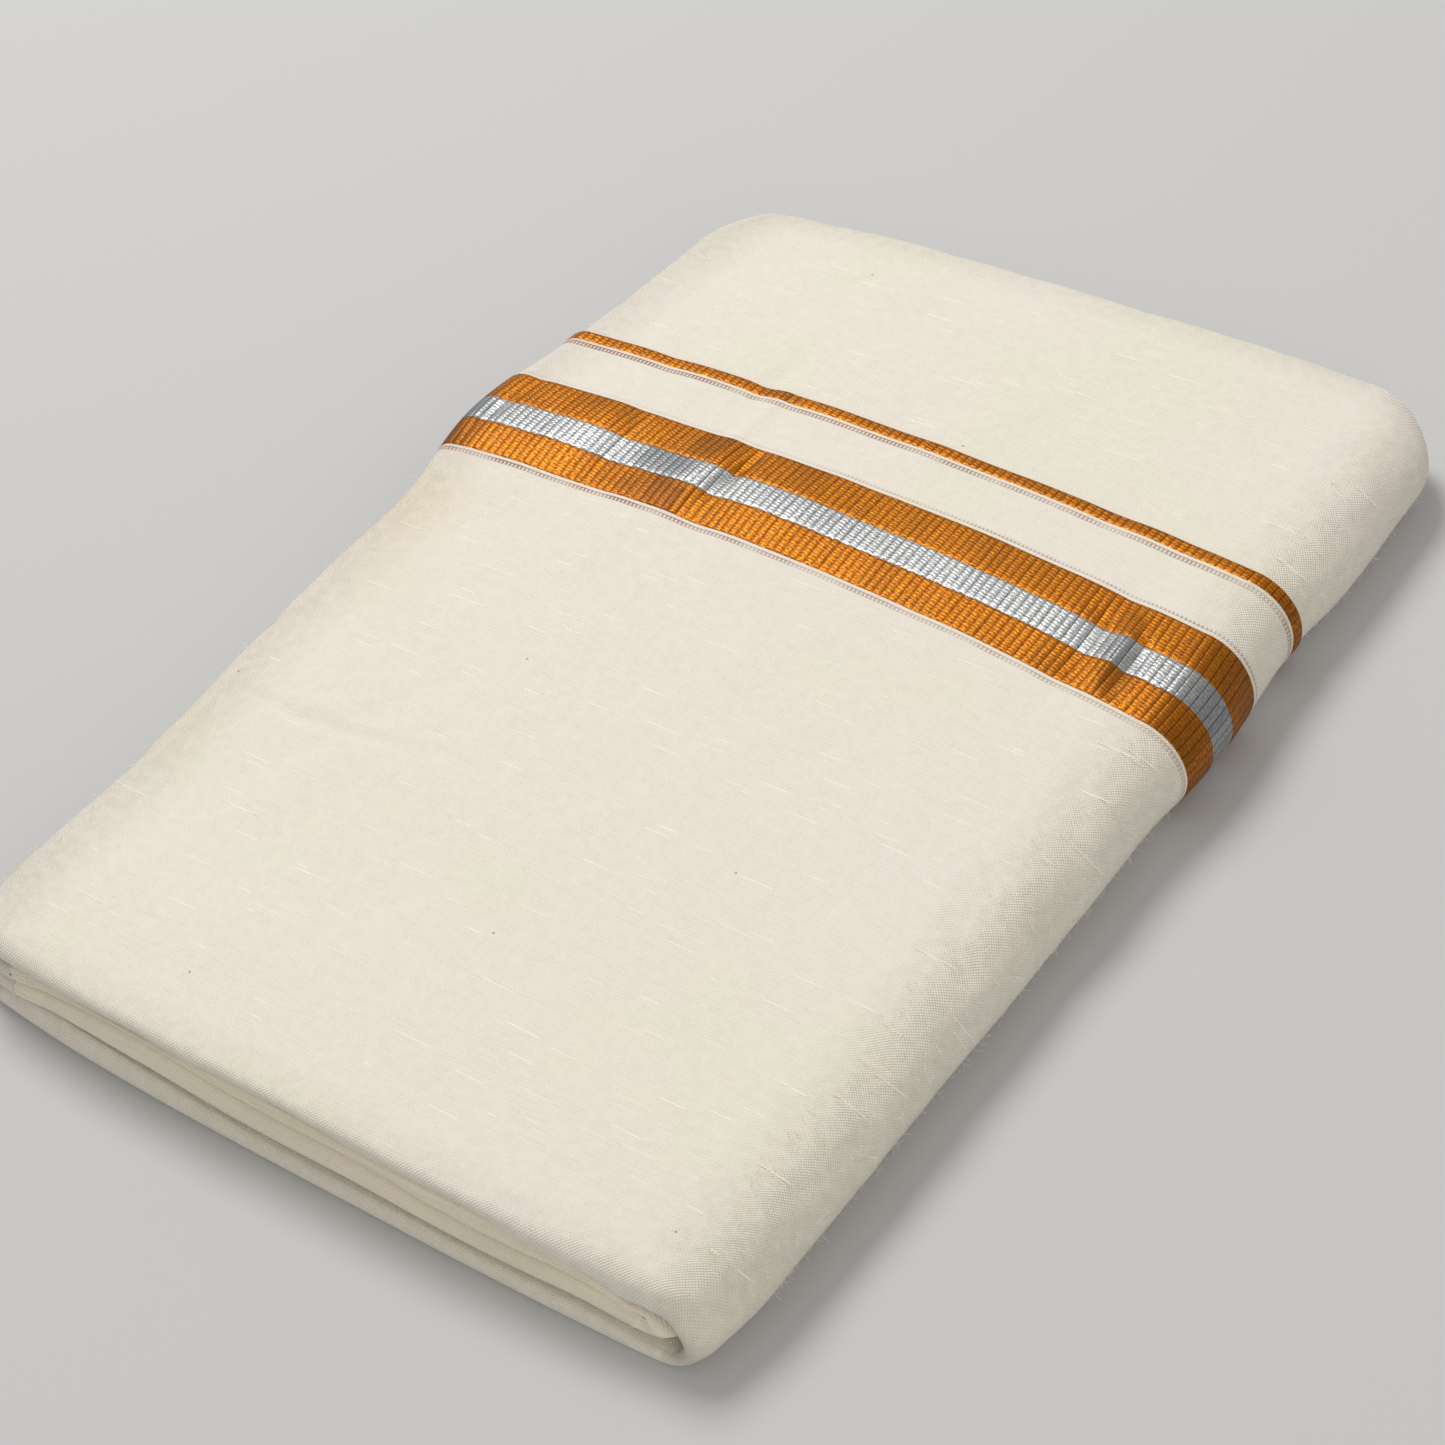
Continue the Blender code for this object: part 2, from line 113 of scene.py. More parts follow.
OUTLINE_COLUMNS = ("place", "left", "right", "left_top", "right_top")
OUTLINE = np.array((
    (-180.0, 121.5, 119.6, 26.2, 24.4),
    (-150.0, 122.6, 120.3, 26.6, 25.2),
    (-110.0, 122.3, 120.9, 25.6, 25.4),
    (-60.0, 123.8, 121.3, 28.2, 26.2),
    (-20.0, 124.3, 121.5, 29.4, 26.6),
    (14.0, 124.6, 121.7, 30.0, 27.0),
    (30.0, 127.0, 123.3, 31.6, 27.8),
    (44.0, 128.4, 123.6, 33.0, 28.3),
    (60.0, 127.9, 122.4, 32.8, 28.3),
    (76.0, 126.2, 121.0, 31.2, 28.0),
    (96.0, 124.6, 121.4, 30.4, 27.2),
    (120.0, 123.3, 121.3, 27.8, 25.8),
    (150.0, 122.8, 120.4, 25.2, 24.2),
    (180.0, 122.3, 120.0, 23.6, 23.2),
))
PILLOW = 1.1

# Soft troughs of the whole bundle: where they cross its middle, their lean, the stretch
# that they run over, their depth and their half width
TROUGHS = (
    (-38.0, -0.20, 8.0, 104.0, 0.9, 9.0),
    (-78.0, -0.30, 22.0, 112.0, 0.6, 7.0),
    (84.0, 0.10, 10.0, 92.0, 0.7, 8.0),
    (30.0, 0.15, 84.0, 150.0, 0.5, 14.0),
    (-70.0, 0.55, -112.0, -18.0, 0.6, 10.0),
    (52.0, -0.25, -150.0, -52.0, 0.5, 16.0),
)

# Towards the big fold, the near end's upper lip comes further down over the fold edges:
# across the packet, and by how much. Beside the big fold what shows between them is low.
LIP_DROP = np.array((
    (-130.0, 0.0), (20.0, 0.0), (36.0, 0.0), (52.0, 0.4), (68.0, 2.2), (82.0, 3.8), (91.0, 5.6), (96.0, 6.6),
    (101.0, 5.6), (108.0, 7.0), (130.0, 7.0),
))
LOW_CORNER = 0.6

# The way round a section: each zone with where it starts, in millimetres across the cloth,
# counted from the middle of the top
ZONE_STARTS = {
    "slit_top": (-152.0, -137.44),
    "left_top": (-137.44, -113.0),
    "top": (-113.0, 107.0),
    "right": (107.0, 151.0),
    "bottom": (151.0, 371.0),
    "left_bottom": (371.0, 392.0),
    "slit_bottom": (392.0, 406.5),
    "core_bottom": (406.5, 606.5),
    "core_end": (606.5, 607.5),
    "core_top": (607.5, 807.5),
}


def smooth(t):
    t = np.clip(t, 0.0, 1.0)
    return t * t * (3 - 2 * t)


def through(place, value, at):
    """A smooth curve through a table's values, read at any places."""
    slope = np.gradient(value, place)
    i = np.clip(np.searchsorted(place, at) - 1, 0, len(place) - 2)
    step = place[i + 1] - place[i]
    t = np.clip((at - place[i]) / step, 0, 1)
    rise = value[i + 1] - value[i]
    start = slope[i] * step
    stop = slope[i + 1] * step
    return value[i] + t * (start + t * (3 * rise - 2 * start - stop + t * (start + stop - 2 * rise)))


def outline(name, y):
    return through(OUTLINE[:, 0], OUTLINE[:, OUTLINE_COLUMNS.index(name)], y)


def corner_loss(y):
    """How far the sides draw in towards a corner of the plan."""
    into = np.maximum(np.abs(y) - (LENGTH / 2 - CORNER_RUN), 0)
    curve = NEAR_CORNER_SLOPE * np.minimum(into, CORNER_EASE) ** 2 / (2 * CORNER_EASE)
    near = curve + NEAR_CORNER_SLOPE * np.maximum(into - CORNER_EASE, 0)
    return np.where(y > 0, FAR_CORNER * (into / CORNER_RUN) ** 3, near)


def trough(x, y):
    low = np.zeros(np.broadcast(x, y).shape)
    for across, lean, start, stop, depth, half in TROUGHS:
        run = np.clip((y - start) / (stop - start), 0, 1)
        off = (x - across - lean * (y - (start + stop) / 2)) / half
        low = low + depth * np.sin(pi * run) ** 0.7 / (1 + off * off) ** 2
    return low


class Section:
    """The bundle cut across, at each of many places y at once."""

    def __init__(self, y):
        loss = corner_loss(y)
        far = smooth(y / LENGTH + 0.5)
        self.y = y
        self.left = -outline("left", y) + loss
        self.right = outline("right", y) - loss
        self.left_top = outline("left_top", y)
        self.right_top = outline("right_top", y)
        self.slit = SLIT_HEIGHT[0] + (SLIT_HEIGHT[1] - SLIT_HEIGHT[0]) * far
        self.near = 1 - far
        self.lip_foot = TOP_LIP_FOOT[0] + (TOP_LIP_FOOT[1] - TOP_LIP_FOOT[0]) * far
        self.thin_lip = THIN_LIP + (BOTTOM_LIP_HEAD - THIN_LIP) * far
        self.mouth = MOUTH_STOP[0] + (MOUTH_STOP[1] - MOUTH_STOP[0]) * far
        self.slit_end = SLIT_STOP[0] + (SLIT_STOP[1] - SLIT_STOP[0]) * far

    def top(self, x):
        t = (x - self.left) / (self.right - self.left)
        height = self.left_top + (self.right_top - self.left_top) * t
        return height + PILLOW * (1 - (2 * t - 1) ** 2) - trough(x, self.y)

    def fold_line(self, x):
        rise = 1 - smooth((x - self.left - LEFT_TURN) / UPPER_LEG_RUN)
        middle = (self.slit + self.left_top) / 2
        drop = through(LIP_DROP[:, 0], LIP_DROP[:, 1], x) * self.near
        return self.lip_foot + (middle + UPPER_LEG_SHIFT - self.lip_foot) * rise - drop

    def between_lips(self, low, high, angle):
        """How high the fold line is, turning from the lower lip to the upper one."""
        return low + (high - low) * ((1 + np.sin(angle)) / 2) ** (1 + LOW_CORNER * self.near)

    def lower_fold_line(self, x):
        thick = smooth((self.right - RIGHT_TURN - x) / THIN_LIP_RUN)
        lift = 1 - smooth((x - self.left - LEFT_TURN) / LOWER_LEG_RUN)
        return self.thin_lip + (BOTTOM_LIP_HEAD - self.thin_lip) * thick + LOWER_LEG_SHIFT * lift

    def place(self, zone, u):
        """Outside points (x, z) at u from 0 to 1 through a zone, and the points on the
        fold line that a lip rolls in to from there."""
        inner_left = self.left + LEFT_TURN
        mouth = self.mouth
        slit_top = self.slit + SLIT_HALF
        slit_low = self.slit - SLIT_HALF
        big_start = self.right - RIGHT_TURN
        if zone == "slit_top":
            x = mouth + (inner_left - mouth) * u
            return x, slit_top + 0 * x, x, self.fold_line(x) - SLIT_LIP_TRIM
        if zone == "left_top":
            crown = self.top(inner_left)
            angle = np.radians(-90 - 180 * u)
            ex = LEFT_TURN * np.cos(angle)
            ez = (crown - slit_top) / 2 * np.sin(angle)
            hub = self.fold_line(inner_left) + SLIT_LIP_TRIM * np.sin(angle)
            return inner_left + ex, (slit_top + crown) / 2 + ez, inner_left + HUB * ex, hub
        if zone == "top":
            x = inner_left + (big_start - inner_left) * u
            return x, self.top(x), x, self.fold_line(x)
        if zone == "right":
            crown = self.top(big_start)
            angle = np.radians(90 - 180 * u)
            x = big_start + RIGHT_TURN * np.cos(angle)
            z = crown / 2 + crown / 2 * np.sin(angle)
            fold_x = big_start + (RIGHT_TURN - RIGHT_LIP) * np.abs(np.cos(angle)) ** 0.5
            return x, z, fold_x, self.between_lips(self.thin_lip, self.fold_line(big_start), angle)
        if zone == "bottom":
            x = big_start + (inner_left - big_start) * u
            return x, 0.0 * x, x, self.lower_fold_line(x)
        if zone == "left_bottom":
            middle = slit_low / 2
            angle = np.radians(-90 - 180 * u)
            ex = LOWER_LEFT_TURN * np.cos(angle)
            ez = middle * np.sin(angle)
            hub = self.lower_fold_line(inner_left) + SLIT_LIP_TRIM * (np.sin(angle) - 1) / 2
            return inner_left + ex, middle + ez, inner_left + HUB * ex, hub
        if zone == "slit_bottom":
            x = inner_left + (mouth - inner_left) * u
            return x, slit_low + 0 * x, x, self.lower_fold_line(x)
        mouth = mouth + GAP
        slit_end = self.slit_end
        if zone == "core_bottom":
            x = mouth + (slit_end - mouth) * u
            return x, slit_low + 0 * x, x, self.lower_fold_line(x) + CORE_MARGIN
        if zone == "core_top":
            x = slit_end + (mouth - slit_end) * u
            return x, slit_top + 0 * x, x, self.fold_line(x) - CORE_MARGIN
        angle = np.radians(-90 + 180 * u)
        lip_foot = big_start + RIGHT_TURN - RIGHT_LIP - CORE_TRIM
        low = self.lower_fold_line(slit_end) + CORE_MARGIN
        high = self.fold_line(slit_end) - CORE_MARGIN
        fold_x = slit_end + (lip_foot - slit_end) * np.cos(angle)
        fold_z = self.between_lips(low, high, angle)
        return slit_end + SLIT_HALF * np.cos(angle), self.slit + SLIT_HALF * np.sin(angle), fold_x, fold_z


class Places:
    """The columns of a piece of cloth: the zone and the u of each, how far across the cloth
    it is, and how far across it counts when the stripes' bow is set."""

    def __init__(self, zones):
        self.zone = np.concatenate([[zone] * count for zone, count in zones] + [[zones[-1][0]]])
        self.u = np.concatenate([np.arange(count) / count for zone, count in zones] + [[1.0]])
        starts = np.array([ZONE_STARTS[zone] for zone in self.zone])
        self.across = starts[:, 0] + (starts[:, 1] - starts[:, 0]) * self.u
        left, right = BOW_REACH
        reach = {
            "top": left + (right - left) * self.u,
            "right": right + FOLD_REACH * self.u,
            "left_top": left - FOLD_REACH * (1 - self.u),
            "bottom": right + FOLD_REACH + 0 * self.u,
            "left_bottom": right + FOLD_REACH + 0 * self.u,
            "core_bottom": right + FOLD_REACH + 0 * self.u,
        }
        other = left - FOLD_REACH + 0 * self.u
        other = np.where(self.zone == "slit_bottom", right + FOLD_REACH, other)
        self.reach = other
        for zone, values in reach.items():
            self.reach = np.where(self.zone == zone, values, self.reach)

    def __len__(self):
        return len(self.u)


def outside(places, y):
    """Outside points and fold-line points of all the columns, each at its own y."""
    found = np.zeros((4, len(places)))
    for zone in dict.fromkeys(places.zone):
        here = places.zone == zone
        found[:, here] = Section(y[here]).place(zone, places.u[here])
    return found


def room_at(places, end):
    """The distance from the outside to the fold line, where a lip begins."""
    way = 1 if end > 0 else -1
    x, z, fold_x, fold_z = outside(places, np.full(len(places), end - way * ROOM_PLACE))
    return np.hypot(fold_x - x, fold_z - z)


def inward(places, y, depth):
    """The columns' points, moved in by depth towards the fold line."""
    x, z, fold_x, fold_z = outside(places, y)
    share = depth / np.hypot(fold_x - x, fold_z - z)
    return np.stack((x + (fold_x - x) * share, y, z + (fold_z - z) * share), axis=-1)


def bowed(along, places):
    """Where a line woven at along lies, fading to straight at the packet's ends."""
    fade = smooth((along - NEAR_END) / BOW_FADE[0]) * smooth((FAR_END - along) / BOW_FADE[1])
    return along - BOW * (places.reach - BOW_MIDDLE) ** 2 * fade


def roll(places, end):
    """Which way an end faces, and how round the cloth is rolled in there."""
    return (1 if end > 0 else -1), (room_at(places, end) - GAP) / 2


def rolled(places, angle, skin, end, crown=None):
    """A row on a rolled lip. skin is how far under the lip's outer face it lies, and crown
    where the lip's own front is."""
    way, radius = roll(places, end)
    front = end if crown is None else crown
    inset = radius - (radius - skin) * np.cos(angle)
    y = front - way * (radius - (radius - skin) * np.sin(angle))
    return inward(places, y, inset)


def tucked(places, skin, end, run):
    """The row where a lip, rolled right over, runs back in between the layers."""
    way, radius = roll(places, end)
    return inward(places, np.full(len(places), end - way * run), 2 * radius - skin)


def linear(hex_colour):
    """An sRGB hex colour as linear red, green, blue and alpha."""
    parts = [int(hex_colour[i:i + 2], 16) / 255 for i in (1, 3, 5)]
    return (*[c / 12.92 if c <= 0.04045 else ((c + 0.055) / 1.055) ** 2.4 for c in parts], 1.0)


def first_result(node):
    """A node's first output that is in use."""
    return next(result for result in node.outputs if result.enabled)


def node_adder(tree):
    """The function that adds nodes to a tree. Its settings are the node's own, or just the
    name of its operation. Its links go by socket: A0 is input 0, and other words are the
    input's name. A node given as a link stands for its first result in use."""
    def add(kind, settings=None, **links):
        node = tree.nodes.new(kind)
        if isinstance(settings, str):
            settings = {"operation": settings}
        for key, value in (settings or {}).items():
            setattr(node, key, value)
        for key, value in links.items():
            by_number = key[0] == "A" and key[1:].isdigit()
            socket = node.inputs[int(key[1:])] if by_number else node.inputs[key.replace("_", " ")]
            if isinstance(value, bpy.types.Node):
                value = first_result(value)
            if isinstance(value, bpy.types.NodeSocket):
                tree.links.new(value, socket)
            else:
                socket.default_value = value
        return node
    return add


def new_material(name):
    """A material with its node tree, its shader and the adder of its nodes."""
    material = bpy.data.materials.new(name)
    material.use_nodes = True
    tree = material.node_tree
    return material, tree, tree.nodes["Principled BSDF"], node_adder(tree)


def dress(tree, shader, colour, bump, numbers):
    """Joins a pattern's colour and bump to the shader, and sets its other numbers."""
    tree.links.new(first_result(colour), shader.inputs["Base Color"])
    tree.links.new(bump.outputs[0], shader.inputs["Normal"])
    for socket, number in numbers.items():
        shader.inputs[socket].default_value = number


def cloth_places(add):
    """The cloth's own map in millimetres, and its two parts: across and along."""
    on_cloth = add("ShaderNodeUVMap", {"uv_map": "cloth"}).outputs[0]
    split = add("ShaderNodeSeparateXYZ", A0=on_cloth)
    return on_cloth, split.outputs[0], split.outputs[1]


IN_COLOUR = {"data_type": "RGBA"}
FLAT_NOISE = {"noise_dimensions": "2D"}
SOFT_EDGED = {"interpolation_type": "SMOOTHSTEP"}
THREAD_PITCH = 0.95
CREAM = "#f0ebe0"
CREAM_GREEN = "#efebdd"
CREAM_PINK = "#f1eae2"
# The slub yarn's pale cream: partly the yarn's own, partly a painted highlight on its raised threads
SLUB_PALE_AND_LIT = "#fcf8ec"
# Painted shade in the spaces between threads
THREAD_GAP_SHADE = "#ddd5c0"
STAIN = "#ead9a8"
FLECK = "#6e5638"
LADDER_PITCH = 1.25
THREAD_BROWN = "#8f4d3c"
# On the rolled ends and the folds, where grazing light shows the threads, the weave is made
# stronger, in its bump and in its painted thread-gap shade: from how far along or across and up
# to where, and how much more. Past the big fold it eases off again, and it is weaker on the ends of the
# folded layers.
LIP_WEAVE_BOOST = (165.0, 175.0, 1.7)
FOLD_WEAVE_BOOST = (97.0, 113.0, 2.1)
FOLD_BOOST_FADE = (140.0, 155.0)
INNER_LIP_WEAVE_CUT = (165.0, 175.0, 0.5)


def cotton(name, guards=(), stains=(), cream=(CREAM_GREEN, CREAM, CREAM_PINK), weave_boost=LIP_WEAVE_BOOST):
    """Plain woven cotton, unbleached and matt, in a warm cream that drifts a very little to
    green and to pink, with a few flecks of husk. Threads cross at THREAD_PITCH, coarser
    than the real 0.35 mm so that they show, with painted shade in the spaces between them, and
    thicker slub threads run across as pale dashes, their paleness partly painted highlight.
    guards lists the fine coloured threads woven in beside a stripe: place, half width, how
    broken they are, and how strong at the left and at the right. stains lists soft yellow
    marks: across, along, radius and strength. The last argument is how much more the weave
    and its painted thread-gap shade show on the rolled ends."""
    material, tree, shader, add = new_material(name)
    on_cloth, across, along = cloth_places(add)

    patches = add("ShaderNodeTexNoise", FLAT_NOISE, Vector=on_cloth, Scale=0.013, Detail=2.0)
    tint = add("ShaderNodeValToRGB", Fac=patches)
    ramp = tint.color_ramp
    ramp.elements[0].position, ramp.elements[0].color = 0.34, linear(cream[0])
    ramp.elements[1].position, ramp.elements[1].color = 0.66, linear(cream[2])
    ramp.elements.new(0.5).color = linear(cream[1])

    stretched = add("ShaderNodeVectorMath", "MULTIPLY", A0=on_cloth, A1=(0.05, 2.9, 1.0))
    slubs = add("ShaderNodeTexNoise", FLAT_NOISE, Vector=stretched, Scale=1.0, Detail=1.5)
    dash = add("ShaderNodeMapRange", A0=slubs, A1=0.655, A2=0.74, A3=0.0, A4=1.0)
    # Pale slub dashes, their paleness partly painted highlight
    colour = add("ShaderNodeMix", IN_COLOUR, A0=dash, A6=tint, A7=linear(SLUB_PALE_AND_LIT))

    def wave(value, pitch):
        turned = add("ShaderNodeMath", "MULTIPLY", A0=value, A1=2 * pi / pitch)
        return add("ShaderNodeMath", "SINE", A0=turned)

    warp, weft = wave(across, THREAD_PITCH), wave(along, THREAD_PITCH)
    crossing = add("ShaderNodeMath", "MULTIPLY", A0=warp, A1=weft)
    uneven = add("ShaderNodeTexNoise", FLAT_NOISE, Vector=on_cloth, Scale=0.3, Detail=1.0)
    firm = add("ShaderNodeMapRange", A0=uneven, A1=0.3, A2=0.7, A3=0.75, A4=1.0)
    start, stop, most = weave_boost
    from_middle = add("ShaderNodeMath", "ABSOLUTE", A0=along)
    on_lips = add("ShaderNodeMapRange", A0=from_middle, A1=start, A2=stop, A3=1.0, A4=most)
    start, stop, most = FOLD_WEAVE_BOOST
    from_side = add("ShaderNodeMath", "ABSOLUTE", A0=across)
    onto_fold = add("ShaderNodeMapRange", A0=from_side, A1=start, A2=stop, A3=1.0, A4=most)
    start, stop = FOLD_BOOST_FADE
    off_fold = add("ShaderNodeMapRange", A0=from_side, A1=start, A2=stop, A3=most, A4=1.0)
    on_folds = add("ShaderNodeMath", "MINIMUM", A0=onto_fold, A1=off_fold)
    weave_boosted = add("ShaderNodeMath", "MAXIMUM", A0=on_lips, A1=on_folds)
    even = add("ShaderNodeMath", "MULTIPLY", A0=crossing, A1=firm)
    weave = add("ShaderNodeMath", "MULTIPLY", A0=even, A1=weave_boosted)
    # Painted shade between the threads, stronger on the rolled ends and folds where grazing light shows the
    # weave
    gap_shade = add("ShaderNodeMapRange", A0=weave, A1=-0.25, A2=-1.8, A3=0.0, A4=0.95)
    colour = add("ShaderNodeMix", IN_COLOUR, A0=gap_shade, A6=colour, A7=linear(THREAD_GAP_SHADE))

    husks = add("ShaderNodeTexVoronoi", {"voronoi_dimensions": "2D"}, Vector=on_cloth, Scale=0.012)
    fleck = add("ShaderNodeMapRange", A0=husks.outputs["Distance"], A1=0.003, A2=0.006, A3=0.55, A4=0.0)
    colour = add("ShaderNodeMix", IN_COLOUR, A0=fleck, A6=colour, A7=linear(FLECK))

    for stain_across, stain_along, radius, strength in stains:
        away = add("ShaderNodeVectorMath", "DISTANCE", A0=on_cloth, A1=(stain_across, stain_along, 0.0))
        mark = add("ShaderNodeMapRange", SOFT_EDGED, A0=away, A1=0.0, A2=radius, A3=strength, A4=0.0)
        colour = add("ShaderNodeMix", IN_COLOUR, A0=mark, A6=colour, A7=linear(STAIN))

    for place, half, broken, left, right in guards:
        off = add("ShaderNodeMath", "SUBTRACT", A0=along, A1=place)
        near = add("ShaderNodeMath", "ABSOLUTE", A0=off)
        line = add("ShaderNodeMapRange", A0=near, A1=half * 0.55, A2=half, A3=1.0, A4=0.0)
        rungs = wave(across, LADDER_PITCH)
        dots = add("ShaderNodeMapRange", A0=rungs, A1=-0.5, A2=0.4, A3=1.0 - broken, A4=1.0)
        worn = add("ShaderNodeTexNoise", FLAT_NOISE, Vector=on_cloth, Scale=0.06, Detail=2.0)
        seen = add("ShaderNodeMapRange", A0=worn, A1=0.38, A2=0.62, A3=0.5, A4=1.0)
        to_left = add("ShaderNodeMapRange", A0=across, A1=40.0, A2=-60.0, A3=right, A4=left)
        dotted = add("ShaderNodeMath", "MULTIPLY", A0=line, A1=dots)
        worn_dots = add("ShaderNodeMath", "MULTIPLY", A0=dotted, A1=seen)
        shown = add("ShaderNodeMath", "MULTIPLY", A0=worn_dots, A1=to_left)
        colour = add("ShaderNodeMix", IN_COLOUR, A0=shown, A6=colour, A7=linear(THREAD_BROWN))

    height = add("ShaderNodeMath", "MULTIPLY_ADD", A0=dash, A1=0.6, A2=weave)
    bump = add("ShaderNodeBump", Height=height, Strength=0.8, Distance=0.1 * MM)
    dress(tree, shader, colour, bump, {
        "Roughness": 0.88, "Specular IOR Level": 0.25, "Sheen Weight": 0.25, "Sheen Roughness": 0.5,
    })
    return material


# How the layers bulge up or hang in the near end: across the packet, and by how much
HANG = np.array((
    (-120.0, 0.0), (-104.0, 0.3), (-90.0, 1.6), (-74.0, 3.4), (-58.0, 3.9), (-44.0, 3.2), (-28.0, 0.9),
    (-10.0, 0.3), (12.0, 0.3), (24.0, -0.8), (38.0, -2.5), (52.0, -2.6), (64.0, -1.7), (76.0, -0.2),
    (88.0, -0.6), (98.0, -2.8), (108.0, -3.4), (120.0, -3.0),
))
HANG_MIDDLE, HANG_HALF, HANG_RUN = 13.6, 9.6, 60.0


def shape_ends(points):
    """Let the layers hang in the near end and lean that end back, round the corners of both
    ends off, and move the origin to the middle of the footprint."""
    x, y, z = np.moveaxis(points, -1, 0)
    inside = np.clip(1 - ((z - HANG_MIDDLE) / HANG_HALF) ** 2, 0, 1) ** 2
    hang = through(HANG[:, 0], HANG[:, 1], x) * inside * smooth((NEAR_END + HANG_RUN - y) / HANG_RUN)
    corner = (np.abs(x) / DRAW_PLACE) ** 4
    near = LEAN * z + np.where(x < 0, *NEAR_DRAW) * corner
    far = FAR_MIDDLE_DRAW + FAR_DRAW * corner
    near = near * smooth((NEAR_END + END_RUN - y) / END_RUN)
    far = far * smooth((y - FAR_END + END_RUN) / END_RUN)
    return np.stack((x + TO_FOOTPRINT_MIDDLE[0], y + near - far + TO_FOOTPRINT_MIDDLE[1], z + hang), axis=-1)


def put(name, grid, closed_round, under=None, picks=None, material=None, marks=None):
    """A closed piece from a grid of outer points. closed_round joins the last column to the
    first and caps the ends; otherwise under is the coarser inner grid, and picks its rows and
    columns in the outer one. marks are point attributes of the outer grid."""
    rows, cols = grid.shape[:2]
    mesh = bmesh.new()
    out = [[mesh.verts.new(p * MM) for p in row] for row in shape_ends(grid)]
    cloth_map = mesh.loops.layers.uv.new("cloth")
    placed = {}
    for r in range(rows):
        for c in range(cols):
            placed[out[r][c]] = marks["at"][r][c]
    wrap = cols if closed_round else cols - 1
    for r in range(rows - 1):
        for c in range(wrap):
            d = (c + 1) % cols
            mesh.faces.new((out[r][c], out[r][d], out[r + 1][d], out[r + 1][c]))
    if closed_round:
        mesh.faces.new(out[0])
        mesh.faces.new(out[-1])
    else:
        row_picks, col_picks = picks
        ins = [[mesh.verts.new(p * MM) for p in row] for row in shape_ends(under)]
        for i, r in enumerate(row_picks):
            for j, c in enumerate(col_picks):
                placed[ins[i][j]] = marks["at"][r][c]
        for i in range(len(ins) - 1):
            for j in range(len(ins[0]) - 1):
                mesh.faces.new((ins[i][j], ins[i][j + 1], ins[i + 1][j + 1], ins[i + 1][j]))
        for outer_row, inner_row in ((out[0], ins[0]), (out[-1], ins[-1])):
            for j in range(len(inner_row) - 1):
                rim = outer_row[col_picks[j]:col_picks[j + 1] + 1]
                mesh.faces.new(rim + [inner_row[j + 1], inner_row[j]])
        for side in (0, -1):
            outer_side = [row[side] for row in out]
            inner_side = [row[side] for row in ins]
            for i in range(len(inner_side) - 1):
                rim = outer_side[row_picks[i]:row_picks[i + 1] + 1]
                mesh.faces.new(rim + [inner_side[i + 1], inner_side[i]])
    bmesh.ops.recalc_face_normals(mesh, faces=mesh.faces[:])
    for face in mesh.faces:
        for loop in face.loops:
            loop[cloth_map].uv = placed[loop.vert]
    data = bpy.data.meshes.new(name)
    mesh.to_mesh(data)
    mesh.free()
    for key, values in marks.items():
        if key == "at":
            continue
        kind, socket = ("FLOAT_VECTOR", "vector") if np.ndim(values) == 3 else ("FLOAT", "value")
        mark = data.attributes.new(key, kind, "POINT")
        flat = np.zeros(len(data.vertices) * (3 if np.ndim(values) == 3 else 1))
        flat[:np.size(values)] = np.ravel(values)
        mark.data.foreach_set(socket, flat)
    data.shade_smooth()
    data.set_sharp_from_angle(angle=radians(55))
    data.materials.append(material)
    piece = bpy.data.objects.new(name, data)
    bpy.context.scene.collection.objects.link(piece)
    return piece


plain_cotton = cotton("unbleached_plain_weave_cotton")
# The folded layers' cream is a little darker and yellower than the outer cloth: painted warm shade for the
# recessed ends and the slit where they show
SHADED_INNER_CREAM = ("#efe8d3", "#f0e9d5", "#f1e8d6")
inner_cotton = cotton("cotton_kept_from_the_light", cream=SHADED_INNER_CREAM, weave_boost=INNER_LIP_WEAVE_CUT)

# How the bundle's outside lies under the cloth that wraps it, and how many columns it has
BUNDLE_DEPTH = 1.5
# It sinks by SINK where the far cloth runs in beneath the flap, and eases back beyond it
SINK, SINK_START, SINK_STOP = 1.5, 2.0, 24.0
BUNDLE_ZONES = (
    ("slit_top", 2), ("left_top", 6), ("top", 18), ("right", 9), ("bottom", 5),
    ("left_bottom", 4), ("slit_bottom", 2),
)
LINING_ZONES = (("core_bottom", 100), ("core_end", 6), ("core_top", 100))
LINING_ANGLES = np.radians(np.linspace(0, 176, 45))
BUNDLE_ROWS = np.concatenate((np.linspace(-162, 80, 34), np.linspace(88, 163, 12)))
# Grooves between the fold edges that show in the ends: the zone, how far round the roll in
# radians, how far it wanders, over what length of the way across, its width and its depth
FOLD_GROOVES = (
    ("core_top", 1.62, 0.26, 9.0, 0.18, 1.5),
    ("core_top", 0.95, 0.16, 6.3, 0.09, 0.4),
    ("core_top", 2.2, 0.15, 11.0, 0.10, 0.5),
    ("core_bottom", 1.25, 0.22, 8.0, 0.10, 0.35),
    ("core_bottom", 2.05, 0.20, 13.0, 0.12, 0.45),
)
MOUTH_RECESS, MOUTH_RUN = 0.15, 14.0


def fold_edges(places, angle, end):
    """How deep the grooves between fold edges cut in, round the bundle's rolled ends."""
    across = places.across
    deep = np.zeros(len(across))
    for zone, middle, drift, length, width, depth in FOLD_GROOVES:
        wander = drift * (np.sin(across / length + end) + 0.6 * np.sin(across / (2.7 * length) + middle))
        off = (angle - middle - wander) / width
        uneven = 0.75 + 0.25 * np.sin(across / 31.0 + 5 * middle)
        deep += depth * uneven * np.exp(-off * off) * (places.zone == zone)
    return deep


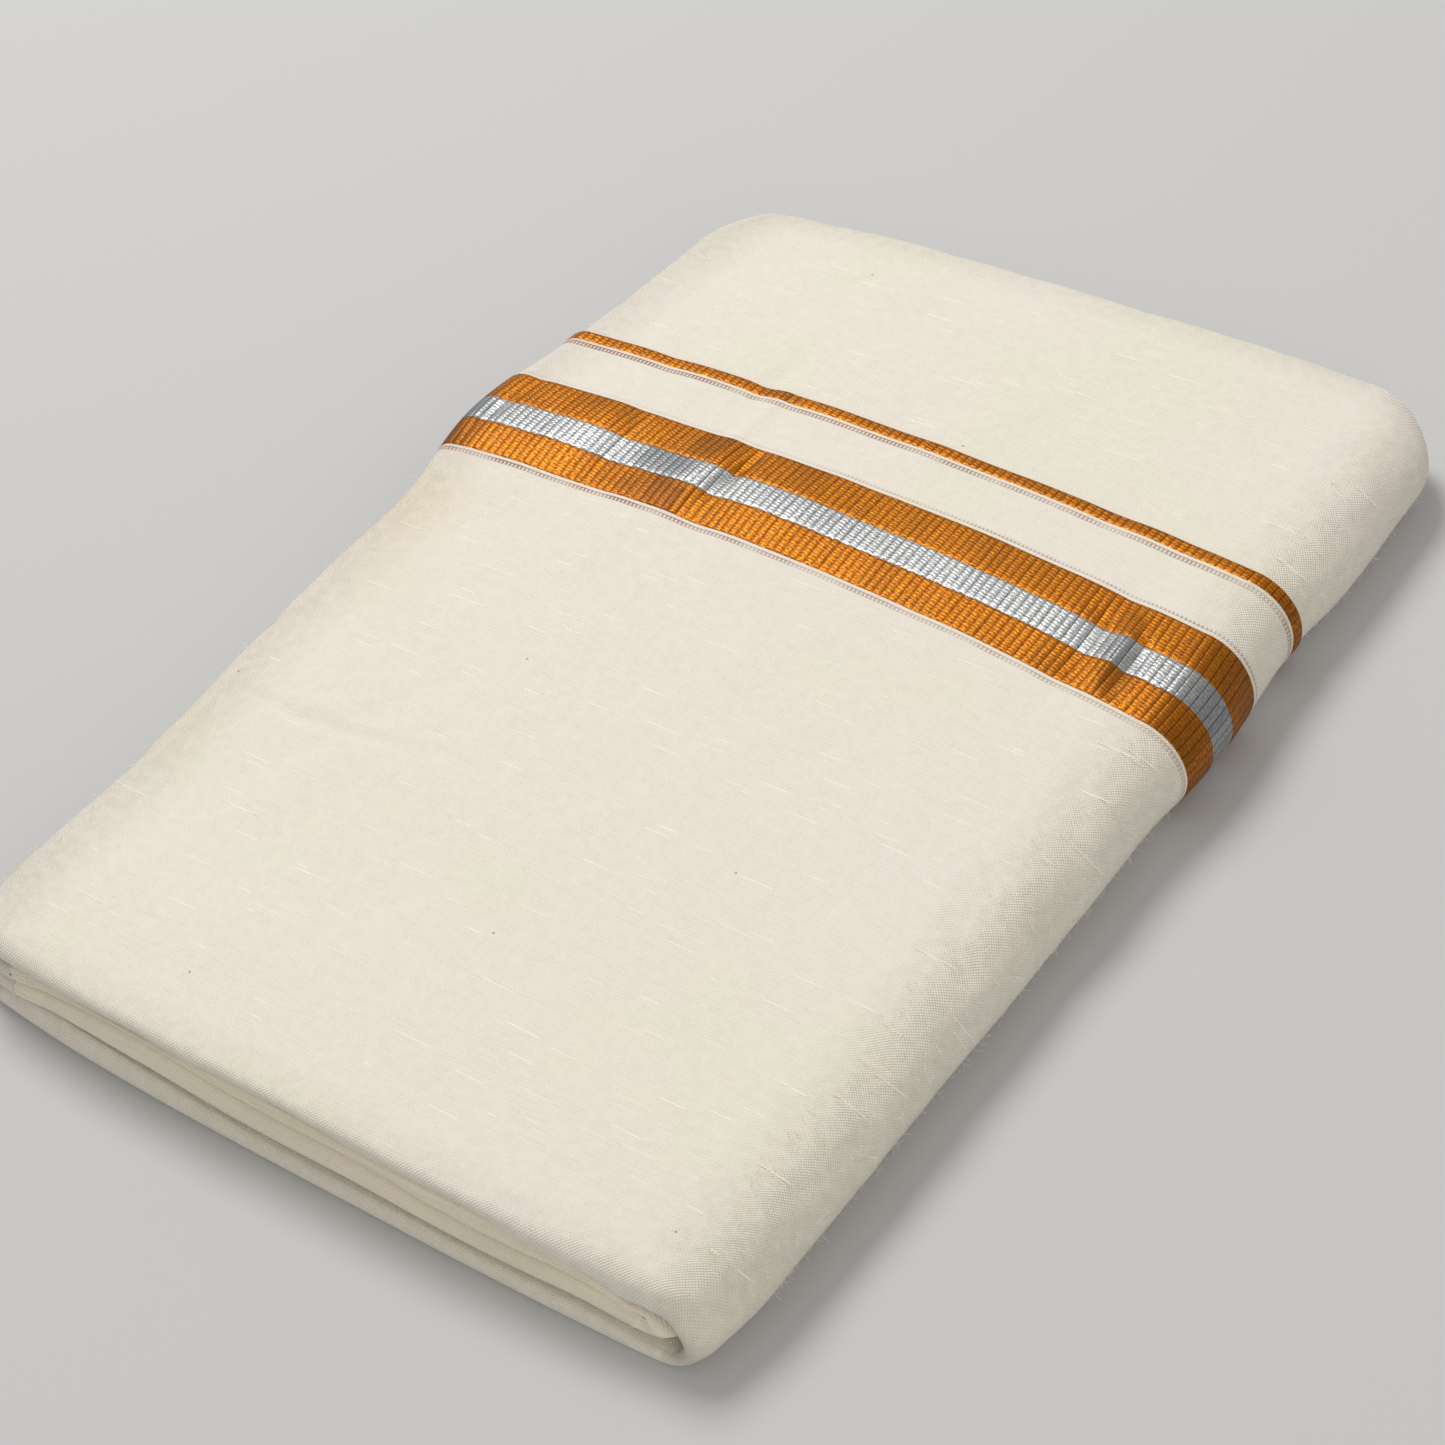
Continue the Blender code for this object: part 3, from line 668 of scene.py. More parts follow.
def core_recess(places):
    """How far the inner bundle's ends stand back, less where the slit opens."""
    start, stop = ZONE_STARTS["core_bottom"][0], ZONE_STARTS["core_top"][1]
    from_mouth = np.minimum(places.across - start, stop - places.across)
    return MOUTH_RECESS + (CORE_RECESS - MOUTH_RECESS) * smooth(from_mouth / MOUTH_RUN)


def along_roll(places, end, front, turned, run=0.0):
    """How far along the cloth a row is that has turned by so much on a roll."""
    way, radius = roll(places, end)
    return front - way * radius + way * (radius * turned + run)


def bundle_end(outer, lining, end):
    """The bundle's rows at one end, each with its places along the cloth."""
    way = 1 if end > 0 else -1
    front = end - way * core_recess(lining)
    rows = []
    for angle in LINING_ANGLES:
        skin = rolled(outer, angle, BUNDLE_DEPTH, end)
        core = rolled(lining, angle, fold_edges(lining, angle, end), end, front)
        at = (along_roll(outer, end, end, angle), along_roll(lining, end, front, angle))
        rows.append((np.concatenate(at), np.concatenate((skin, core))))
    for run in (TUCK_DEPTH, SLOT_DEPTH):
        skin, core = tucked(outer, BUNDLE_DEPTH, end, run), tucked(lining, 0.0, end, run)
        at = (along_roll(outer, end, end, pi, run), along_roll(lining, end, front, pi, run))
        rows.append((np.concatenate(at), np.concatenate((skin, core))))
    return rows


outer_places = Places(BUNDLE_ZONES)
lining_places = Places(LINING_ZONES)
bundle_rows = list(reversed(bundle_end(outer_places, lining_places, NEAR_END)))
for along in BUNDLE_ROWS:
    under_flap = smooth((along - FLAP_STOP + UNDERLAP) / SINK_START)
    under_flap *= 1 - smooth((along - FLAP_STOP) / SINK_STOP)
    skin = inward(outer_places, bowed(along, outer_places), BUNDLE_DEPTH + SINK * under_flap)
    core = inward(lining_places, bowed(along, lining_places), 0.0)
    points = np.concatenate((skin, core))
    bundle_rows.append((np.full(len(points), along), points))
bundle_rows += bundle_end(outer_places, lining_places, FAR_END)
bundle_grid = np.array([points for at, points in bundle_rows])
bundle_along = np.array([at for at, points in bundle_rows])
bundle_across = np.concatenate((outer_places.across, lining_places.across))
bundle_across = np.broadcast_to(bundle_across, bundle_along.shape)
bundle_at = np.stack((bundle_across, bundle_along), axis=-1)
folded_layers = put("folded_layers", bundle_grid, True, material=inner_cotton, marks={"at": bundle_at})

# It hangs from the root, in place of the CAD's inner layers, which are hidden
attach(folded_layers, "root")
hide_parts("inner_layers")

# The far cloth
#
# The layer under the flap: plain cotton that comes out from beneath the flap's edge stripe,
# lies all round the packet, and is rolled in over the far end. Thick slub threads lie in
# its weave, and loose fibres stand on its folds.

# Creases and ridges left by handling: from (across, along) to (across, along), height out
# of the cloth, and half width. Across 107 to 151 is the big fold, and past 151 the underside.
HANDLING = (
    (-125.0, 12.0, -118.0, 82.0, 0.5, 3.0),
    (-114.0, 22.0, -108.0, 78.0, -0.7, 3.0),
    (-77.0, 8.0, -56.0, 84.0, -0.9, 12.0),
    (-43.0, 30.0, -39.5, 76.0, 0.75, 5.5),
    (-40.5, 56.0, -46.0, 104.0, 0.6, 3.2),
    (-35.5, 42.0, -32.5, 68.0, -0.85, 1.8),
    (-49.0, 74.0, -53.0, 116.0, -0.7, 3.6),
    (-27.0, 18.0, -29.0, 62.0, 0.3, 6.0),
    (92.0, 34.0, 88.5, 64.0, 0.9, 2.6),
    (97.5, 34.0, 94.0, 60.0, -0.7, 2.2),
    (84.0, 34.0, 81.0, 62.0, -0.5, 2.6),
    (61.0, 30.0, 66.0, 112.0, -0.25, 7.0),
    (14.0, 58.0, 8.0, 122.0, 0.25, 8.0),
    (-108.0, -70.0, -78.0, -72.5, -0.85, 1.5),
    (-90.0, -72.0, -54.0, -69.5, -0.65, 1.5),
    (-66.0, -70.5, -38.0, -65.0, -0.45, 1.8),
    (-96.0, -67.5, -58.0, -65.5, 0.4, 2.2),
    (-58.0, -12.0, -30.0, -8.0, 0.22, 2.6),
    (-10.0, 12.0, 44.0, 8.0, -0.14, 3.0),
    (30.0, -20.0, 92.0, -34.0, -0.2, 6.0),
    (-95.0, -120.0, -30.0, -132.0, -0.22, 7.0),
    (10.0, -110.0, 78.0, -92.0, 0.2, 9.0),
    (-20.0, 128.0, 60.0, 120.0, -0.3, 9.0),
    (-90.0, 132.0, -34.0, 144.0, 0.3, 10.0),
    (118.0, -150.0, 121.0, -96.0, -0.5, 3.0),
    (129.0, -138.0, 126.0, -60.0, 0.45, 3.6),
    (116.0, -70.0, 122.0, -8.0, -0.45, 4.2),
    (132.0, -30.0, 128.0, 30.0, 0.4, 3.0),
    (121.0, 96.0, 118.0, 150.0, -0.5, 4.0),
    (134.0, 84.0, 137.0, 138.0, 0.4, 3.4),
    (110.0, -170.0, 119.0, -128.0, 0.35, 2.4),
    (-124.0, -140.0, -121.0, -62.0, -0.5, 3.2),
    (-130.0, -96.0, -127.0, -20.0, 0.4, 2.8),
    (-121.0, 92.0, -125.0, 150.0, -0.45, 3.4),
    (-131.0, 60.0, -128.0, 128.0, 0.35, 3.0),
    (101.0, 15.0, 118.0, -3.0, -1.25, 5.0),
    (95.0, -23.0, 114.0, -40.0, -1.05, 6.0),
    (99.0, -42.0, 120.0, -54.0, -1.2, 3.6),
    (98.0, -62.0, 119.0, -71.0, 0.5, 6.0),
    (102.0, -84.0, 123.0, -97.0, -1.0, 5.0),
    (98.0, -111.0, 118.0, -121.0, -0.6, 6.5),
    (104.0, -128.0, 124.0, -147.0, 0.55, 5.0),
    (112.0, 2.0, 135.0, -13.0, 0.6, 4.5),
    (113.0, -24.0, 136.0, -31.0, -0.7, 4.0),
    (114.0, -62.0, 137.0, -76.0, -0.6, 4.5),
    (116.0, -98.0, 138.0, -106.0, 0.55, 5.0),
    (100.0, 113.0, 120.0, 103.0, -0.7, 5.5),
    (104.0, 142.0, 124.0, 131.0, 0.5, 5.0),
    (-107.0, -36.0, -125.0, -50.0, -0.7, 5.0),
    (-105.0, -98.0, -124.0, -90.0, 0.5, 5.5),
    (-106.0, 119.0, -124.0, 108.0, -0.6, 5.0),
    (382.0, -130.0, 379.0, -40.0, -0.35, 2.4),
    (384.0, 30.0, 380.0, 120.0, 0.35, 2.8),
)
# Slow waves of the whole cloth: wavelength across, wavelength along, phase and height
WAVES = (
    (61.0, 143.0, 0.7, 0.11),
    (-37.0, 88.0, 2.1, 0.08),
    (24.0, -57.0, 4.4, 0.05),
    (131.0, 41.0, 1.3, 0.07),
    (-17.0, 33.0, 5.2, 0.025),
)


def relief(places, along):
    """How far handling has pushed the cloth out, for columns at places along the cloth."""
    across = places.across
    high = np.zeros(len(across))
    for a0, v0, a1, v1, height, half in HANDLING:
        length = np.hypot(a1 - a0, v1 - v0)
        run = ((across - a0) * (a1 - a0) + (along - v0) * (v1 - v0)) / length ** 2
        off = ((across - a0) * (v1 - v0) - (along - v0) * (a1 - a0)) / length
        off = off + 0.35 * half * np.sin(2 * pi * run)
        high += height * np.sin(pi * np.clip(run, 0, 1)) ** 0.8 * np.exp(-((off / half) ** 2))
    for by_across, by_along, phase, height in WAVES:
        high += height * np.sin(2 * pi * (across / by_across + along / by_along) + phase)
    resting = ~np.isin(places.zone, ("top", "right", "left_top", "left_bottom"))
    low = np.where(places.zone == "right", 1 - smooth((places.u - 0.72) / 0.2), 1.0)
    low = np.where(places.zone == "left_bottom", smooth((places.u - 0.1) / 0.3), low)
    low = np.where(places.zone == "left_top", smooth(places.u / 0.3), low)
    return np.where(resting, 0.0, high * low)


CLOTH = 0.55
LIP_ANGLES = np.radians((0, 10, 20, 30, 40, 50, 60, 70, 80, 90, 100, 110, 120, 130, 140, 150, 160, 168, 176))
LIP_TUCKS = (4.0, 8.0, TUCK_DEPTH)
UNDER_FLAP = 0.75
FLAP_EASE = 20.0
CLOTH_ZONES = (
    ("slit_top", 6), ("left_top", 22), ("top", 176), ("right", 40), ("bottom", 48),
    ("left_bottom", 12), ("slit_bottom", 6),
)
INNER_STEP = 2


def every(count, step):
    """Every step-th of count rows or columns, with the last."""
    return sorted({*range(0, count, step), count - 1})


def lip(places, end):
    """The rows of a rolled lip from the plain cloth inwards, each with its place along the
    cloth and a maker of its points at a given depth."""
    way, radius = roll(places, end)
    straight = end - way * radius
    found = []
    for angle in LIP_ANGLES:
        along = straight + way * radius * angle
        found.append((along, lambda skin, angle=angle: rolled(places, angle, skin, end)))
    for run in LIP_TUCKS:
        along = straight + way * (radius * LIP_ANGLES[-1] + run)
        found.append((along, lambda skin, run=run: tucked(places, skin, end, run)))
    return found


def to_lip(places, end, last):
    """Rows between the plain cloth's last one and the place where the lip begins."""
    way, radius = roll(places, end)
    straight = end - way * radius
    found = []
    for share in (0.25, 0.5, 0.75):
        y = last + (straight - last) * share
        found.append((y, lambda skin, y=y: inward(places, y, skin)))
    return found


def plain_row(places, along, sunk=0.0):
    y = bowed(along, places)
    return (np.full(len(places), along), lambda skin: inward(places, y, skin + sunk))


def cloth_piece(name, places, rows, material, raised=None, col_step=INNER_STEP, extra=None):
    """A thin shell of cloth: its outer face in relief, its inner face CLOTH below."""
    outer, inner, at = [], [], []
    row_picks = every(len(rows), INNER_STEP)
    col_picks = every(len(places), col_step)
    for i, (along, points) in enumerate(rows):
        out = relief(places, along)
        if raised is not None:
            out = out + raised(places, along)
        outer.append(points(-out))
        at.append(np.stack((places.across, along), axis=-1))
        if i in row_picks:
            inner.append(points(CLOTH - np.minimum(out, 0.0))[col_picks])
    grid = np.array(outer)
    grid[:, :, 2] = np.maximum(grid[:, :, 2], 0.0)
    marks = {"at": np.array(at)}
    if extra:
        marks.update(extra(places, rows))
    return put(name, grid, False, np.array(inner), (row_picks, col_picks), material, marks)


def through_nodes(piece, tree, **given):
    """The piece as the tree makes it, as a plain mesh with no modifier left on it."""
    modifier = piece.modifiers.new("nodes", "NODES")
    modifier.node_group = tree
    for item in tree.interface.items_tree:
        name = item.name.replace(" ", "_")
        if item.in_out == "INPUT" and name in given:
            modifier[item.identifier] = given[name]
    made = piece.evaluated_get(bpy.context.evaluated_depsgraph_get())
    mesh = bpy.data.meshes.new_from_object(made)
    piece.modifiers.remove(modifier)
    piece.data = mesh
    mesh.name = piece.name
    return piece


def cloth_tree(name, sizes, seed):
    """A tree of nodes that works on a cloth, with sizes, a seed and a material as its named
    inputs. It comes with the adder of its nodes and those inputs."""
    tree = bpy.data.node_groups.new(name, "GeometryNodeTree")
    face = tree.interface
    face.new_socket("Geometry", in_out="INPUT", socket_type="NodeSocketGeometry")
    for size, value in sizes:
        face.new_socket(size, in_out="INPUT", socket_type="NodeSocketFloat").default_value = value
    face.new_socket("Seed", in_out="INPUT", socket_type="NodeSocketInt").default_value = seed
    face.new_socket("Material", in_out="INPUT", socket_type="NodeSocketMaterial")
    face.new_socket("Geometry", in_out="OUTPUT", socket_type="NodeSocketGeometry")
    add = node_adder(tree)
    return tree, add, add("NodeGroupInput").outputs


SINGLE = {"data_type": "FLOAT"}
THREE_WAY = {"data_type": "FLOAT_VECTOR"}


def spots_in(add, given, room):
    """Points at random on the stretch of the cloth that is marked as room."""
    marked = add("GeometryNodeInputNamedAttribute", SINGLE, Name=room)
    clear = add("ShaderNodeMath", "GREATER_THAN", A0=marked, A1=0.99)
    return add(
        "GeometryNodeDistributePointsOnFaces", Mesh=given["Geometry"], Selection=clear,
        Density=given["Per square metre"], Seed=given["Seed"],
    )


def end_tree(add, given, geometry):
    real = add("GeometryNodeRealizeInstances", Geometry=geometry)
    dressed = add("GeometryNodeSetMaterial", Geometry=real, Material=given["Material"])
    add("NodeGroupOutput", Geometry=dressed)


SLUB_SIZES = (("Per square metre", 4200.0), ("Half length", 0.0055), ("Half width", 0.00017))
SLUB_FLATNESS = 0.55
SLUB_LEAST, SLUB_MOST = (0.25, 0.6, 0.6), (1.5, 1.15, 1.15)


def slub_tree():
    """Lays slub threads on a cloth: soft spindles, thicker than the rest of the yarn, that
    run across the cloth here and there. They are half sunk in it."""
    tree, add, given = cloth_tree("slub_threads", SLUB_SIZES, 11)
    spots = spots_in(add, given, "slub_room")
    spindle = add("GeometryNodeMeshUVSphere", Segments=6, Rings=5, Radius=1.0)
    turned = add(
        "FunctionNodeAlignRotationToVector", {"axis": "X", "pivot_axis": "Z"},
        Rotation=spots.outputs["Rotation"], Vector=(1.0, 0.0, 0.0),
    )
    flat = add("ShaderNodeMath", "MULTIPLY", A0=given["Half width"], A1=SLUB_FLATNESS)
    size = add("ShaderNodeCombineXYZ", A0=given["Half length"], A1=given["Half width"], A2=flat)
    uneven = add("FunctionNodeRandomValue", THREE_WAY, A0=SLUB_LEAST, A1=SLUB_MOST, Seed=given["Seed"])
    scaled = add("ShaderNodeVectorMath", "MULTIPLY", A0=size, A1=uneven)
    laid = add("GeometryNodeInstanceOnPoints", Points=spots, Instance=spindle, Rotation=turned, Scale=scaled)
    end_tree(add, given, laid)
    return tree


# A fibre's bend, in shares of its length, how far it leans each way, and its least and most
FIBRE_SIZES = (("Per square metre", 170000.0), ("Length", 0.0018), ("Thickness", 0.00004))
FIBRE_BEND = ((0.0, 0.0, -0.1), (0.1, 0.0, 0.6), (0.75, 0.15, 0.8))
FIBRE_LEAN = 0.7
FIBRE_LEAST, FIBRE_MOST = 0.3, 1.3


def fibre_tree():
    """Stands loose cotton fibres on a cloth, each a short bent hair, leaning at random."""
    tree, add, given = cloth_tree("loose_fibres", FIBRE_SIZES, 7)
    spots = spots_in(add, given, "fibre_room")
    start, middle, end = FIBRE_BEND
    bend = add("GeometryNodeCurveQuadraticBezier", Resolution=4, Start=start, Middle=middle, End=end)
    length = given["Length"]
    size = add("ShaderNodeCombineXYZ", A0=length, A1=length, A2=length)
    sized = add("GeometryNodeTransform", Geometry=bend, Scale=size)
    round_hair = add("GeometryNodeCurvePrimitiveCircle", Resolution=3, Radius=given["Thickness"])
    hair = add("GeometryNodeCurveToMesh", Curve=sized, Profile_Curve=round_hair)
    least, most = (-FIBRE_LEAN, -FIBRE_LEAN, -pi), (FIBRE_LEAN, FIBRE_LEAN, pi)
    lean = add("FunctionNodeRandomValue", THREE_WAY, A0=least, A1=most, Seed=given["Seed"])
    turn = add("FunctionNodeEulerToRotation", A0=lean)
    local = {"rotation_space": "LOCAL"}
    leaning = add("FunctionNodeRotateRotation", local, A0=spots.outputs["Rotation"], A1=turn)
    uneven = add("FunctionNodeRandomValue", SINGLE, A2=FIBRE_LEAST, A3=FIBRE_MOST, Seed=given["Seed"])
    laid = add("GeometryNodeInstanceOnPoints", Points=spots, Instance=hair, Rotation=leaning, Scale=uneven)
    end_tree(add, given, laid)
    return tree


def yarn_room(start, stop):
    """Marks where slub threads may lie, on the top and the upper half of the big fold, and
    where loose fibres stand, on the folds."""
    def marks(places, rows):
        slubbed = (places.zone == "top") | ((places.zone == "right") & (places.u < 0.45))
        rubbed = ((places.zone == "right") & (places.u < 0.7)) | (
            (places.zone == "left_top") & (places.u > 0.3))
        plain = np.array([(along > start) & (along < stop) for along, points in rows])
        return {"slub_room": (plain & slubbed).astype(float), "fibre_room": (plain & rubbed).astype(float)}
    return marks


# The slub yarn's paleness is partly a painted highlight
slub_yarn, _, slub_shader, _ = new_material("thick_cotton_slub_yarn")
slub_shader.inputs["Base Color"].default_value = linear(SLUB_PALE_AND_LIT)
slub_shader.inputs["Roughness"].default_value = 0.85
slub_shader.inputs["Specular IOR Level"].default_value = 0.2
slubs, fibres = slub_tree(), fibre_tree()


def lay_yarn(cloth, name, tree, seed):
    """The slub threads or the fibres of one piece of cloth, as a piece of their own."""
    piece = bpy.data.objects.new(name, cloth.data.copy())
    bpy.context.scene.collection.objects.link(piece)
    return through_nodes(piece, tree, Seed=seed, Material=slub_yarn)


places = Places(CLOTH_ZONES)
last_far_row = 162.0
far_rows = []
beneath_flap = np.linspace(FLAP_STOP - UNDERLAP, 88.0, 4)
for along in np.concatenate((beneath_flap, np.linspace(90.0, last_far_row, 50))):
    sunk = UNDER_FLAP * (1 - smooth((along - FLAP_STOP) / FLAP_EASE))
    far_rows.append(plain_row(places, along, sunk))
far_rows += to_lip(places, FAR_END, last_far_row) + lip(places, FAR_END)
far_room = yarn_room(FLAP_STOP + 2.0, last_far_row)
far_cloth = cloth_piece("far_cloth", places, far_rows, plain_cotton, extra=far_room)
far_slubs = lay_yarn(far_cloth, "far_slub_threads", slubs, 5)
far_fibres = lay_yarn(far_cloth, "far_loose_fibres", fibres, 6)

for piece in (far_cloth, far_slubs, far_fibres):
    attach(piece, "root")
    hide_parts("ground_far")

# The near cloth
#
# The flap's plain cotton, from its near end, where it is rolled in over the fold edges, to
# the border. A white cord and a few brown threads are woven in beside the border.

KARA_START = 34.4
GUARD_CORD = 0.16
CORD_PLACE = 0.55
CORD_HALF = 0.5
CORD_ROWS = np.array((3.0, 2.2, 1.6, 1.2, 0.9, 0.6, 0.3, 0.0))


def cord_at(*middles):
    """How far the white cords woven in at these places stand out."""
    def raised(places, along):
        high = sum(np.exp(-(((along - middle) / CORD_HALF) ** 4)) for middle in middles)
        return GUARD_CORD * high * np.isin(places.zone, ("top", "right", "left_top"))
    return raised


near_cotton = cotton("cotton_beside_the_border", (
    (KARA_START - 1.15, 0.24, 0.25, 0.9, 0.55),
    (KARA_START - 1.65, 0.5, 0.95, 0.8, 0.45),
    (KARA_START - 2.15, 0.24, 0.5, 0.7, 0.4),
), ((-114.0, 10.0, 30.0, 0.3), (-100.0, -20.0, 26.0, 0.15), (-118.0, -88.0, 20.0, 0.12)))
first_near_row = -162.0
near_rows = list(reversed(to_lip(places, NEAR_END, first_near_row) + lip(places, NEAR_END)))
for along in np.concatenate((np.linspace(first_near_row, KARA_START - 3.8, 140), KARA_START - CORD_ROWS)):
    near_rows.append(plain_row(places, along))
near_room = yarn_room(first_near_row, KARA_START - 3.0)
near_cord = cord_at(KARA_START - CORD_PLACE)
near_cloth = cloth_piece("near_cloth", places, near_rows, near_cotton, near_cord, extra=near_room)
near_slubs = lay_yarn(near_cloth, "near_slub_threads", slubs, 11)
near_fibres = lay_yarn(near_cloth, "near_loose_fibres", fibres, 12)

for piece in (near_cloth, near_slubs, near_fibres):
    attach(piece, "root")
    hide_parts("ground_near")

# The border's bands
#
# Zari: metal-wrapped thread, woven thick over cords that run along the cloth, so that each
# band is ribbed. Orange gold, then silver, then orange gold again, in one weave.

# Where the silver band begins along the cloth, the far gold band, and the plain cloth
KARA_SILVER = 45.8
KARA_FAR_GOLD = 55.6
KARA_STOP = 67.8
RIB_PITCH = 220.0 / 90
RIB_HEIGHT = 0.32
RIB_FULLNESS = 0.36
RIBBED_ZONES = (
    ("slit_top", 4), ("left_top", 80), ("top", 720), ("right", 144), ("bottom", 24),
    ("left_bottom", 8), ("slit_bottom", 4),
)


def rib_tree():
    """Raises ribs out of a band: round tops with narrow grooves between, uneven in height."""
    sizes = (("Rib pitch", RIB_PITCH), ("Rib height", RIB_HEIGHT), ("Fullness", RIB_FULLNESS))
    tree, add, given = cloth_tree("woven_ribs", sizes, 4)
    across = add("GeometryNodeInputNamedAttribute", SINGLE, Name="across")
    proud = add("GeometryNodeInputNamedAttribute", SINGLE, Name="proud")
    outward = add("GeometryNodeInputNamedAttribute", THREE_WAY, Name="outward")
    count = add("ShaderNodeMath", "DIVIDE", A0=across, A1=given["Rib pitch"])
    turned = add("ShaderNodeMath", "MULTIPLY", A0=count, A1=pi)
    wave = add("ShaderNodeMath", "SINE", A0=turned)
    arch = add("ShaderNodeMath", "ABSOLUTE", A0=wave)
    full = add("ShaderNodeMath", "POWER", A0=arch, A1=given["Fullness"])
    past_groove = add("ShaderNodeMath", "ADD", A0=count, A1=0.001)
    which = add("ShaderNodeMath", "FLOOR", A0=past_groove)
    uneven = add("FunctionNodeRandomValue", SINGLE, A2=0.72, A3=1.12, ID=which, Seed=given["Seed"])
    shape = add("ShaderNodeMath", "MULTIPLY", A0=full, A1=uneven)
    most = add("ShaderNodeMath", "MULTIPLY", A0=proud, A1=given["Rib height"])
    height = add("ShaderNodeMath", "MULTIPLY", A0=shape, A1=most)
    in_metres = add("ShaderNodeMath", "MULTIPLY", A0=height, A1=MM)
    offset = add("ShaderNodeVectorMath", "SCALE", A0=outward, Scale=in_metres)
    moved = add("GeometryNodeSetPosition", Geometry=given["Geometry"], Offset=offset)
    end_tree(add, given, moved)
    return tree


STROKE_PITCH = 1.1
STROKE_SLANT = 2.6
GROOVE_HALF = 0.1


def zari(name, bright, deep, worn, shadow, metal, rough, painted_spots=()):
    """Metal-wrapped thread on cotton: satin and more than half metallic. Its floats lie
    across the ribs in short strokes, STROKE_PITCH apart where the real ones are 0.6 mm, each
    with its own sparkle, and a painted shade darkens the groove between two ribs. The last
    argument lists patches of painted shade and dark reflection where the bands kink and turn over the folds,
    and one of painted highlight: across, along, reach each way and strength."""
    material, tree, shader, add = new_material(name)
    on_cloth, across, along = cloth_places(add)

    count = add("ShaderNodeMath", "DIVIDE", A0=across, A1=RIB_PITCH)
    which = add("ShaderNodeMath", "FLOOR", A0=count)
    into = add("ShaderNodeMath", "FRACT", A0=count)
    centred = add("ShaderNodeMath", "SUBTRACT", A0=into, A1=0.5)
    from_middle = add("ShaderNodeMath", "ABSOLUTE", A0=centred)
    groove = add("ShaderNodeMapRange", A0=from_middle, A1=0.5 - GROOVE_HALF, A2=0.5, A3=0.0, A4=1.0)
    chance = add("ShaderNodeTexWhiteNoise", {"noise_dimensions": "1D"}, W=which)
    slant = add("ShaderNodeMath", "MULTIPLY", A0=into, A1=STROKE_SLANT)
    stroke_place = add("ShaderNodeMath", "MULTIPLY_ADD", A0=along, A1=2 * pi / STROKE_PITCH, A2=slant)
    shifted = add("ShaderNodeMath", "MULTIPLY_ADD", A0=chance, A1=2 * pi, A2=stroke_place)
    strokes = add("ShaderNodeMath", "SINE", A0=shifted)
    squeezed = add("ShaderNodeVectorMath", "MULTIPLY", A0=on_cloth, A1=(0.9, 2.0, 1.0))
    grains = add("ShaderNodeTexNoise", FLAT_NOISE, Vector=squeezed, Scale=1.0, Detail=2.0)

    lit = add("ShaderNodeMath", "MULTIPLY_ADD", A0=strokes, A1=0.1, A2=grains)
    tone = add("ShaderNodeMapRange", A0=lit, A1=0.2, A2=0.85, A3=0.0, A4=1.0)
    body = add("ShaderNodeMix", IN_COLOUR, A0=tone, A6=linear(deep), A7=linear(bright))
    cloudy = add("ShaderNodeTexNoise", FLAT_NOISE, Vector=on_cloth, Scale=0.05, Detail=2.0)
    rubbed = add("ShaderNodeMapRange", A0=cloudy, A1=0.4, A2=0.75, A3=0.0, A4=0.3)
    by_rib = add("ShaderNodeMath", "SUBTRACT", A0=chance, A1=0.5)
    rubbed = add("ShaderNodeMath", "MULTIPLY_ADD", A0=by_rib, A1=0.3, A2=rubbed)
    # Patches of painted shade and dark reflection where the bands kink and turn over the folds, added to the
    # random wear; a negative strength is a painted highlight
    for spot_across, spot_along, reach_across, reach_along, strength in painted_spots:
        squares = []
        for value, middle, reach in ((across, spot_across, reach_across), (along, spot_along, reach_along)):
            off = add("ShaderNodeMath", "SUBTRACT", A0=value, A1=middle)
            share = add("ShaderNodeMath", "DIVIDE", A0=off, A1=reach)
            squares.append(add("ShaderNodeMath", "MULTIPLY", A0=share, A1=share))
        away = add("ShaderNodeMath", "ADD", A0=squares[0], A1=squares[1])
        painted_spot = add("ShaderNodeMapRange", SOFT_EDGED, A0=away, A1=0.1, A2=1.0, A3=strength, A4=0.0)
        rubbed = add("ShaderNodeMath", "ADD", A0=rubbed, A1=painted_spot)
    least = add("ShaderNodeMath", "MAXIMUM", A0=rubbed, A1=0.0)
    rubbed = add("ShaderNodeMath", "MINIMUM", A0=least, A1=0.92)
    # The worn colour stands for random wear and, in the patches, for painted shade
    worn_and_shaded = add("ShaderNodeMix", IN_COLOUR, A0=rubbed, A6=body, A7=linear(worn))
    # Painted shade in the groove between two ribs, in the shadow colour
    in_groove = add("ShaderNodeMath", "MULTIPLY", A0=groove, A1=0.9)
    colour = add("ShaderNodeMix", IN_COLOUR, A0=in_groove, A6=worn_and_shaded, A7=linear(shadow))

    height = add("ShaderNodeMath", "MULTIPLY_ADD", A0=strokes, A1=0.16, A2=grains)
    bump = add("ShaderNodeBump", Height=height, Strength=0.8, Distance=0.12 * MM)
    gloss = add("ShaderNodeMapRange", A0=grains, A1=0.2, A2=0.8, A3=rough + 0.1, A4=rough - 0.08)
    tree.links.new(gloss.outputs[0], shader.inputs["Roughness"])
    dress(tree, shader, colour, bump, {"Metallic": metal, "Specular IOR Level": 0.25})
    return material


